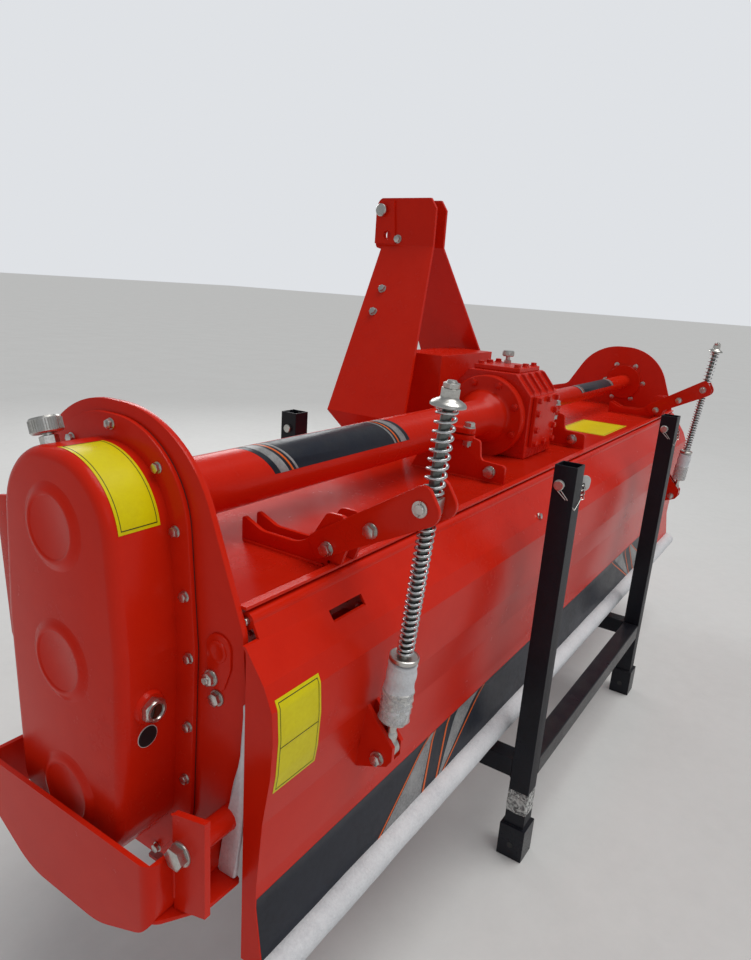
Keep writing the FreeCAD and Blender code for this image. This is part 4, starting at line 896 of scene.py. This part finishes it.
def makeLabel(name, surface, left, right, low, high, body):
    sheet, lines = bmesh.new(), bmesh.new()
    addFilm(sheet, surface, high, low, (left, right), (left, right), 0.3, 10, 24)
    finishPiece("label_" + name, sheet, "labelYellow", body, 50)
    middle, inset, wide = (low + high) / 2, labelLine["inset"], labelLine["wide"]
    rows = [((left + 5, right - 5), middle - 0.5, middle + 0.5, 12, 1)] if name == "board" else []
    left, right, low, high = left + inset, right - inset, low + inset, high - inset
    rows += [((left, right), low, low + wide, 16, 1), ((left, right), high - wide, high, 16, 1),
             ((left, left + wide), low, high, 1, 16), ((right - wide, right), low, high, 1, 16)]
    for pair, foot, top, across, up in rows:
        addFilm(lines, surface, top, foot, pair, pair, 0.7, across, up)
    finishPiece("label_lines_" + name, lines, "labelBlack", body, 50)


for name, look in labels.items():
    makeLabel(name, *look)

boardBand = {"left": -1334, "right": 1150, "middle": -50, "high": 472, "low": 362}
boardStripes = {
    # finish: pairs of x at the band's top and at its foot
    "filmOrange": [((-828, -820), (-1026, -1017)), ((-804, -797), (-862, -854)), ((-742, -734), (-806, -798)),
                   ((-572, -563), (-779, -770))],
    "filmSilver": [((-818, -806), (-1012, -868)), ((-700, -600), (-794, -783))],
}
tubeBands = {"left": (-1102, -612, -6, 70, 1.0), "right": (618, 1050, -6, 40, 0.55)}  # x, v of foot and top, size


def makeBands():
    high, low, across = boardBand["high"], boardBand["low"], (boardBand["left"], boardBand["right"])
    film = bmesh.new()
    addFilm(film, onBoard, high, low, across, across, 0.3, 20, 16)
    finishPiece("band_board", film, "filmNavy", "board", 50)
    for finish, stripes in boardStripes.items():
        bm = bmesh.new()
        for pairs in stripes:
            mirrored = [[2 * boardBand["middle"] - x for x in pair[::-1]] for pair in pairs]
            addFilm(bm, onBoard, high, low, *pairs, 0.7)
            addFilm(bm, onBoard, high, low, *mirrored, 0.7)
        finishPiece("band_board_" + finish, bm, finish, "board", 50)
    film = bmesh.new()
    marks = {"filmOrange": bmesh.new(), "filmSilver": bmesh.new()}
    for side, (left, right, low, high, size) in tubeBands.items():
        lean = 44 * size
        addFilm(film, onTube[side], high, low, (left + lean, right), (left, right - lean), 0.3)
        for finish, offset, wide in (("filmSilver", 14, 22), ("filmOrange", 44, 5), ("filmSilver", 56, 6)):
            for start, way in ((left, 1), (right - lean, -1)):
                near = start + way * offset * size
                pair = sorted((near, near + way * wide * size))
                addFilm(marks[finish], onTube[side], high, low, (pair[0] + lean, pair[1] + lean), pair, 0.7)
    finishPiece("band_tubes", film, "filmNavy", "root", 50)
    for finish, bm in marks.items():
        finishPiece("band_tubes_" + finish, bm, finish, "root", 50)


makeBands()
print("labels and bands laid")


# gear cover: bolts, breather, level glass and its round label, patch on the side plate, guard

coverBolts = [(16, 1128), (109, 1092), (-81, 1083), (-115, 1000), (-132, 909), (-140, 816), (-137, 703), (-130, 610),
              (-62, 446), (20, 446), (100, 446), (152, 560), (158, 680), (164, 790), (160, 900), (152, 1010)]
coverDetails = {"breather": (-1398, 62, 1095), "breatherLean": (0, 0.32, 0.95), "glass": (-1384, -110.5, 750),
                "disc": (-1386, -109, 702), "patchPlug": (-190, 842), "patchThick": 4, "guardBolt": (-217, 584)}
patchOutline = [(-214, 868, 22), (-214, 820, 30), (-200, 782, 9), (-170, 782, 9), (-166, 868, 22)]
guardOutline = [(-1456, -150, 12), (-1456, -196, 24), (-1392, -236, 30), (-1325, -238, 8), (-1325, -150)]


# ribs that stand round a knob
def addKnurl(bm, place, count, radius, low, tall, wire):
    for k in range(count):
        rib = shifted(turned(place, 2 * math.pi * k / count, "Z"), radius, 0, low)
        addRod(bm, wire, rib.translation, shifted(rib, 0, 0, tall).translation, 6, 0.2)


def makeCoverDetails():
    left, skin = -xAxis, cover["skin"]
    patchFace = skin - coverDetails["patchThick"]
    bolts, patch, breather, ring, gusset = (bmesh.new() for _ in range(5))
    for index, (y, z) in enumerate(coverBolts):
        addBolt(bolts, seat(coverFace, y, z, left), "M8", index * 0.7)
    addBolt(bolts, seat(patchFace, -178, 797, left), "M12", -178, True)
    addBolt(bolts, seat(skin, -186, 766, left), "M12", -186)
    addBolt(bolts, seat(-1421, *coverDetails["guardBolt"], left), "M20", 0.5)
    addDisc(bolts, 17, -5, 84, seat(-1326, *coverDetails["guardBolt"], left))
    finishPiece("cover_bolts", bolts, "zinc", "root", 35)
    addPlate(patch, patchOutline, coverDetails["patchThick"], sideFrame(patchFace), 1.5)
    addTurned(patch, [(17, 0), (16.5, 1.6), (14, 2.6), (10, 1.4), (0, 1)],
              seat(patchFace, *coverDetails["patchPlug"], left), 28)
    finishPiece("plate_patch", patch, "redPaint", "root")
    foot = seat(*coverDetails["breather"], coverDetails["breatherLean"])
    addTurned(breather, [(0, -6), (12, -6), (12, 3), (8, 4), (8, 7), (0, 7)], foot, 24)
    addHex(breather, foot, 13, 11, 5)
    addDisc(breather, 8, 15, 20, foot, 20)
    addTurned(breather, [(0, 19), (10, 19), (20, 20), (22, 22), (22, 40), (20, 42.5), (17, 43), (16, 41.5), (0, 41.5)],
              foot, 72)
    addKnurl(breather, foot, 36, 22, 23, 16, 0.9)
    finishPiece("cover_breather", breather, "zinc", "root", 35)
    sight, disc = (seat(*coverDetails[name], (0, -1, -0.04)) for name in ("glass", "disc"))
    addHex(ring, sight, 19.5, 8, 7.5)
    addTurned(ring, [(11.5, 15), (17, 15), (17, 17.5), (16, 19), (12.5, 19), (11.5, 17.5), (11.5, 15)], sight, 40)
    finishPiece("level_ring", ring, "zinc", "root", 35)
    rounds = {
        # name: finish, place, steps, profile
        "level_boss": ("redPaint", sight, 40, [(0, -6), (27, -6), (25, 3), (22.5, 7), (19, 7.5), (0, 7.5)]),
        "level_glass": ("glassDark", sight, 32, [(0, 16), (12, 16), (12, 16.6), (9, 17.4), (0, 17.8)]),
        "level_label_edge": ("labelWhite", disc, 40, [(0, -1.5), (17, -1.5), (17, 0.8), (0, 0.8)]),
        "level_label": ("labelBlack", disc, 40, [(0, 0), (16, 0), (16, 1.1), (0, 1.1)]),
    }
    for name, (finish, place, steps, profile) in rounds.items():
        bm = bmesh.new()
        addTurned(bm, profile, place, steps)
        finishPiece(name, bm, finish, "root")
    addPlate(gusset, guardOutline, 7, topFrame(0, 0, 474), 1.2)
    for low, high in ((500, 570), (640, 640.1)):
        addBead(gusset, at(-1421, -201, low), at(-1421, -201, high))
    finishPiece("guard_gusset", gusset, "redPaint", "root")


makeCoverDetails()
print("gear cover details made")


# bolts and washers on the frame

gearbox = {"ring": 98, "bolts": 8, "lid": 1148, "back": -134}
clampBolt = {"back": -92, "low": 996, "high": 1026, "sideY": -160, "sideZ": 929}
hitch = {"x": 412, "y": 428, "z": 850}
spacer = {"y": 383, "z": 1480, "half": 30}


# angle, y and z of each bolt of a circle round a height on the machine's cross axis
def boltCircle(count, radius, middle, start=0):
    for k in range(count):
        angle = 2 * math.pi * (k + start) / count
        yield angle, math.cos(angle) * radius, middle + math.sin(angle) * radius


def makeFrameBolts():
    zinc, onBack, red = bmesh.new(), bmesh.new(), bmesh.new()
    wallOut, tubeHigh = plate["half"], plate["tubeHigh"]
    for side in sides.values():
        middle = side * rods["x"]
        for face in (-1, 1):
            for y, z in ((-209, 939), (-289, 989)):
                addBolt(zinc, seat(middle + face * 30, y, z, xAxis * face), "M12", y, face > 0)
            lug = seat(middle + face * 17, -323, 612, xAxis * face)
            addBolt(onBack, shifted(lug, 0, -11, 0), "M12", 0.4, face > 0)
        for angle, y, z in boltCircle(gearbox["bolts"], gearbox["ring"], tubeHigh, 0.5):
            if z > flange["deck"] + 16:
                addBolt(red, seat(side * flange["half"], y, z, xAxis * side), "M10", angle)
    for angle, y, z in boltCircle(6, 82, tubeHigh):
        addBolt(zinc, seat(wallIn, y, z, -xAxis), "M10", angle)
        addBolt(zinc, seat(wallOut, y, z, xAxis), "M10", angle, True)
    for angle, y, z in boltCircle(4, 62, plate["rotorHigh"], 0.5):
        addBolt(zinc, seat(wallOut + 11, y, z, xAxis), "M10", angle)
    for y in (-74, 74):
        addBolt(zinc, seat(wallOut + 9, y, 436, xAxis), "M8", y)
    for x in (-60, 0, 60):
        for y in (-56, 56):
            addBolt(red, seat(x, y, gearbox["lid"], zAxis), "M10", x + y)
    for x, heights in ((-66, (946, 985, 1030, 1068)), (0, (946, 1068)), (66, (946, 985, 1030, 1068))):
        for z in heights:
            addBolt(red, seat(x, gearbox["back"], z, -yAxis), "M10", x + z)
    for size in tubes.values():
        x = size["clamp"]
        addBolt(zinc, seat(x, clampBolt["back"], clampBolt["high"], zAxis), "M16", x)
        addBolt(zinc, seat(x, clampBolt["back"], clampBolt["low"], -zAxis), "M16", x, True)
        for face in (-1, 1):
            place = seat(x + face * 5, clampBolt["sideY"], clampBolt["sideZ"], xAxis * face)
            addBolt(zinc, place, "M16", x, face > 0)
    addBolt(onBack, facing(onBoard(-352, 832, 0), (0, -1, 0.3)), "M8", 0.2)
    finishPiece("frame_bolts", zinc, "zinc", "root", 35)
    finishPiece("board_bolts", onBack, "zinc", "board", 35)
    finishPiece("gearbox_bolts", red, "castRed", "root", 35)


def makeMastDetails():
    bm = bmesh.new()
    y, z, half = spacer["y"], spacer["z"], spacer["half"]
    addRod(bm, 8, at(-half, y, z), at(half, y, z), 20)
    addSleeve(bm, 9, 16, 0, 48, seat(-24, y, z, xAxis))
    for side in sides.values():
        out = xAxis * side
        addBolt(bm, seat(side * 36, y, z, out), "M12", 0.7, side > 0)
        for x, boltY, boltZ in ((112, 377, 1333), (151, 378, 1267)):
            addBolt(bm, seat(side * x, boltY, boltZ, (side * 0.862, 0, 0.507)), "M12", boltZ)
        for boltY, turn in ((270, 300), (310, 340)):
            addBolt(bm, seat(side * 315, boltY, 930, out), "M16", turn)
        for face in (-1, 1):
            place = seat(side * hitch["x"] + face * 42, hitch["y"], hitch["z"], xAxis * face)
            addTurned(bm, [(0, 0), (19, 0), (19, 5), (17.5, 6.5), (0, 6.5)], place, 28)
    finishPiece("mast_bolts", bm, "zinc", "root", 35)


def makeBreather():
    bm = bmesh.new()
    foot = seat(44, 20, gearbox["lid"], zAxis)
    addHex(bm, foot, 11, 9)
    addDisc(bm, 6.5, 8, 22, foot, 20)
    addTurned(bm, [(0, 20), (15, 20), (16.5, 22), (16.5, 33), (15, 36), (0, 36)], foot, 48)
    addKnurl(bm, foot, 28, 16.5, 22.5, 10, 0.8)
    finishPiece("gearbox_breather", bm, "zinc", "root", 35)


makeFrameBolts()
makeMastDetails()
makeBreather()
print("frame fasteners placed")


# weld beads, in the paint of what they join

stand = {"x": 489, "back": -377, "front": 384, "half": 25, "pinHigh": 961, "footHalf": 32.5, "holeHigh": 38,
         "tapeLow": 128, "barEdges": (219.5, 270.5)}


def makeWelds():
    onFrame, onBack, onStand = bmesh.new(), bmesh.new(), bmesh.new()
    deck, wall = flange["deck"] + 1, wallIn - 1
    for side in sides.values():
        middle = side * rods["x"]
        for x in (middle - 22.5, middle - 13.5, middle + 13.5, middle + 22.5):
            addBead(onFrame, at(x, -198, deck), at(x, -24, deck), 3.4)
        for y, z in ((-208, deck + 10), (-196, deck + 2)):
            addBead(onFrame, at(middle - 22, y, z), at(middle + 22, y, z), 3.8)
        for x, start, radius in ((305, 154, 3.6), (315, 154, 3.6), (wall, -200, 3.2)):
            addBead(onFrame, at(side * x, start, deck), at(side * x, 262, deck), radius)
        for offset in (-42, -30, 30, 42):
            x = side * hitch["x"] + offset
            addBead(onFrame, at(x, 349, 812), at(x, 349, 938), 3.2)
        addWireArc(onFrame, seat(side * wall, 0, plate["tubeHigh"], xAxis), 73 if side > 0 else 51, 6, 360, 60, 7)
        for x in (middle - 13, middle + 13):
            addBead(onBack, at(x, -300, 662), at(x, -292, 572))
        for y in (stand["back"] + stand["half"] + 0.5, stand["front"] - stand["half"] - 0.5):
            for z in stand["barEdges"]:
                x = side * stand["x"]
                addBead(onStand, at(x - 24, y, z), at(x + 24, y, z), 2.4)
    finishPiece("weld_beads", onFrame, "redPaint", "root", 45)
    finishPiece("weld_beads_board", onBack, "redPaint", "board", 45)
    finishPiece("weld_beads_stand", onStand, "blackPaint", "root", 45)


makeWelds()
print("welds laid")


# stand: pins with their wire clips, tag, tape, foot caps

def addClip(metal, dark, x, head):
    # a wire loop on the pin, its two legs, and a short chain round the post's corner
    back, high = stand["back"] - stand["half"], stand["pinHigh"]
    corner, hook, end = (at(x - stand["half"] + 6, back - 4, high - 50), at(x + 32, back - 1, high - 32),
                         at(x + 44, back + 3, high - 8))
    addWireArc(metal, facing(head + Vector((-0.004, 0, 0)), -xAxis), 11.5, 2.4, 300, 24, 7)
    for y in (-0.005, 0.005):
        addRod(metal, 1.2, head + Vector((-0.004, y, -0.010)), corner, 8, 0.3)
    addRod(metal, 1.2, corner, hook, 8, 0.3)
    run = end - hook
    along = run.to_track_quat("X", "Z").to_matrix().to_4x4()
    for k in range(6):
        place = turned(Matrix.Translation(hook + run * k / 5) @ along, quarter * (k % 2) + 0.4, "X")
        addWireArc(dark if k % 2 else metal, place, 5, 2.2, 360, 14, 6)


def makeStandDetails():
    metal, dark, caps, tag, tape, part = (bmesh.new() for _ in range(6))
    for x in (-stand["x"], stand["x"]):
        for y in (stand["back"], stand["front"]):
            head = at(x - stand["half"], y + (8 if y < 0 else 0), stand["pinHigh"])
            addTurned(metal, [(0, -66), (6, -66), (7.5, -64), (7.5, 0), (11, 0.5), (11, 6), (9.5, 7.5), (0, 7.5)],
                      facing(head, -xAxis), 24)
            if y < 0:
                addClip(metal, dark, x, head)
            addPlate(caps, square(stand["footHalf"], 6), 3, topFrame(x, y, 0), 0.8, 6)
            # near-black dished discs on the foot at the hole height: painted shade of the holes
            addTurned(dark, [(0, 0), (8, 0), (8, 0.9), (7.2, 0.9), (6.4, 0.4), (0, 0.3)],
                      seat(x - stand["footHalf"] + 0.3, y, stand["holeHigh"], -xAxis), 24)
    finishPiece("stand_pins", metal, "zinc", "root", 35)
    finishPiece("stand_chain_and_hole_shade", dark, "rubberAndShade", "root")
    finishPiece("stand_foot_caps", caps, "blackPaint", "root")
    flat = laidAlong(at(-432, -396, 955), (0.66, -0.75, 0), (-0.1, -0.08, 1))
    addPlate(tag, [(-14, -19, 13.8), (14, -19, 13.8), (14, 19, 13.8), (-14, 19, 13.8)], 1.2, flat, 0.3)
    finishPiece("stand_tag", tag, "labelWhite", "root")
    drawOutline(part, square(stand["half"] + 0.9, 4), 6)
    faces = part.faces[:]
    for _ in range(12):
        faces = grow(part, faces, (0, 0, 5))[0]
    bmesh.ops.subdivide_edges(part, edges=[edge for edge in part.edges if edge.calc_length() > 0.02], cuts=6)
    absorb(tape, part, topFrame(-stand["x"], stand["back"], stand["tapeLow"]))
    crumple(tape, 90, 1.6)
    finishPiece("stand_tape", tape, "clearTape", "root", 30)


makeStandDetails()
print("stand details made")


# foam strip that is left between the board's left cheek and the side plate

foamStrip = {"x": -1335, "thick": 7, "outline": [(-244, 783, 2), (-251, 781, 2), (-258, 690), (-246, 590), (-232, 482, 6),
                                                 (-196, 480, 6), (-214, 590), (-240, 700)]}


def makeFoamStrip():
    bm = bmesh.new()
    addPlate(bm, foamStrip["outline"], foamStrip["thick"], sideFrame(foamStrip["x"]), 2.4)
    bmesh.ops.subdivide_edges(bm, edges=[edge for edge in bm.edges if edge.calc_length() > 0.03], cuts=4)
    crumple(bm, 60, 2)
    finishPiece("foam_strip", bm, "whiteFoam", "board", 45)


makeFoamStrip()
print("foam strip laid")


# stage, light and camera

camera = {"place": (-1958, -833, 1336), "ahead": (0.8075, 0.5175, -0.2831), "up": (0.2001, 0.2112, 0.9568),
          "focalPixels": 712.14, "framePixels": 960, "centreRow": 498.3, "sensor": 36.0}
lights = {
    # name: place in mm, size in m, power in W, colour
    "fill": ((-3600, -4200, 2800), (3.0, 2.0), 12, (0.97, 0.98, 1)),
    "front": ((2600, 3600, 3300), (2.6, 2.0), 60, (1, 1, 1)),
}
studio = {"world": (0.9, 0.93, 0.97, 1), "worldStrength": 0.34, "seen": (0.74, 0.76, 0.79, 1), "floorHalf": 90,
          "sky": (0.9, -1.3, 4.4), "skyStrength": 1.62, "skySpread": 42, "skyColor": (1, 0.985, 0.96)}


def placeCamera():
    data = bpy.data.cameras.new("camera")
    data.sensor_fit = "VERTICAL"
    data.sensor_height = camera["sensor"]
    data.lens = camera["focalPixels"] / camera["framePixels"] * camera["sensor"]
    data.shift_y = camera["centreRow"] / camera["framePixels"] - 0.5
    data.clip_start, data.clip_end = 0.05, 300
    back = -Vector(camera["ahead"]).normalized()
    right = Vector(camera["up"]).cross(back).normalized()
    holder = newObject("camera", data)
    holder.matrix_world = laidAlong(at(*camera["place"]), right, back.cross(right))
    bpy.context.scene.camera = holder


def addFloor():
    bm = bmesh.new()
    bmesh.ops.create_grid(bm, x_segments=2, y_segments=2, size=studio["floorHalf"])
    mesh = bpy.data.meshes.new("floor")
    bm.to_mesh(mesh)
    bm.free()
    mesh.materials.append(materials["floorPale"])
    newObject("floor", mesh)


def lightScene():
    world = bpy.data.worlds.new("studio")
    bpy.context.scene.world = world
    world.use_nodes = True
    tree = world.node_tree
    lit = tree.nodes["Background"]
    lit.inputs["Color"].default_value = studio["world"]
    lit.inputs["Strength"].default_value = studio["worldStrength"]
    seen = addNode(tree, "Background", {"Color": studio["seen"]})
    path, mix = addNode(tree, "LightPath"), addNode(tree, "MixShader")
    linkAll(tree, (path, "Is Camera Ray", mix, 0), (lit, 0, mix, 1), (seen, 0, mix, 2),
            (mix, 0, tree.nodes["World Output"], "Surface"))
    # one broad soft source that lights object and floor evenly
    sky = bpy.data.lights.new("sky", "SUN")
    sky.energy, sky.angle, sky.color = studio["skyStrength"], math.radians(studio["skySpread"]), studio["skyColor"]
    newObject("sky", sky).matrix_world = seat(0, 0, 4000, studio["sky"])
    for name, (place, size, power, color) in lights.items():
        data = bpy.data.lights.new(name, "AREA")
        data.shape = "RECTANGLE"
        data.size, data.size_y = size
        data.energy, data.color = power, color
        newObject(name, data).matrix_world = facing(at(*place), at(*place) - at(0, 0, 800))


addFloor()
lightScene()
placeCamera()
bpy.context.scene.view_settings.view_transform = "Standard"
print("stage set")
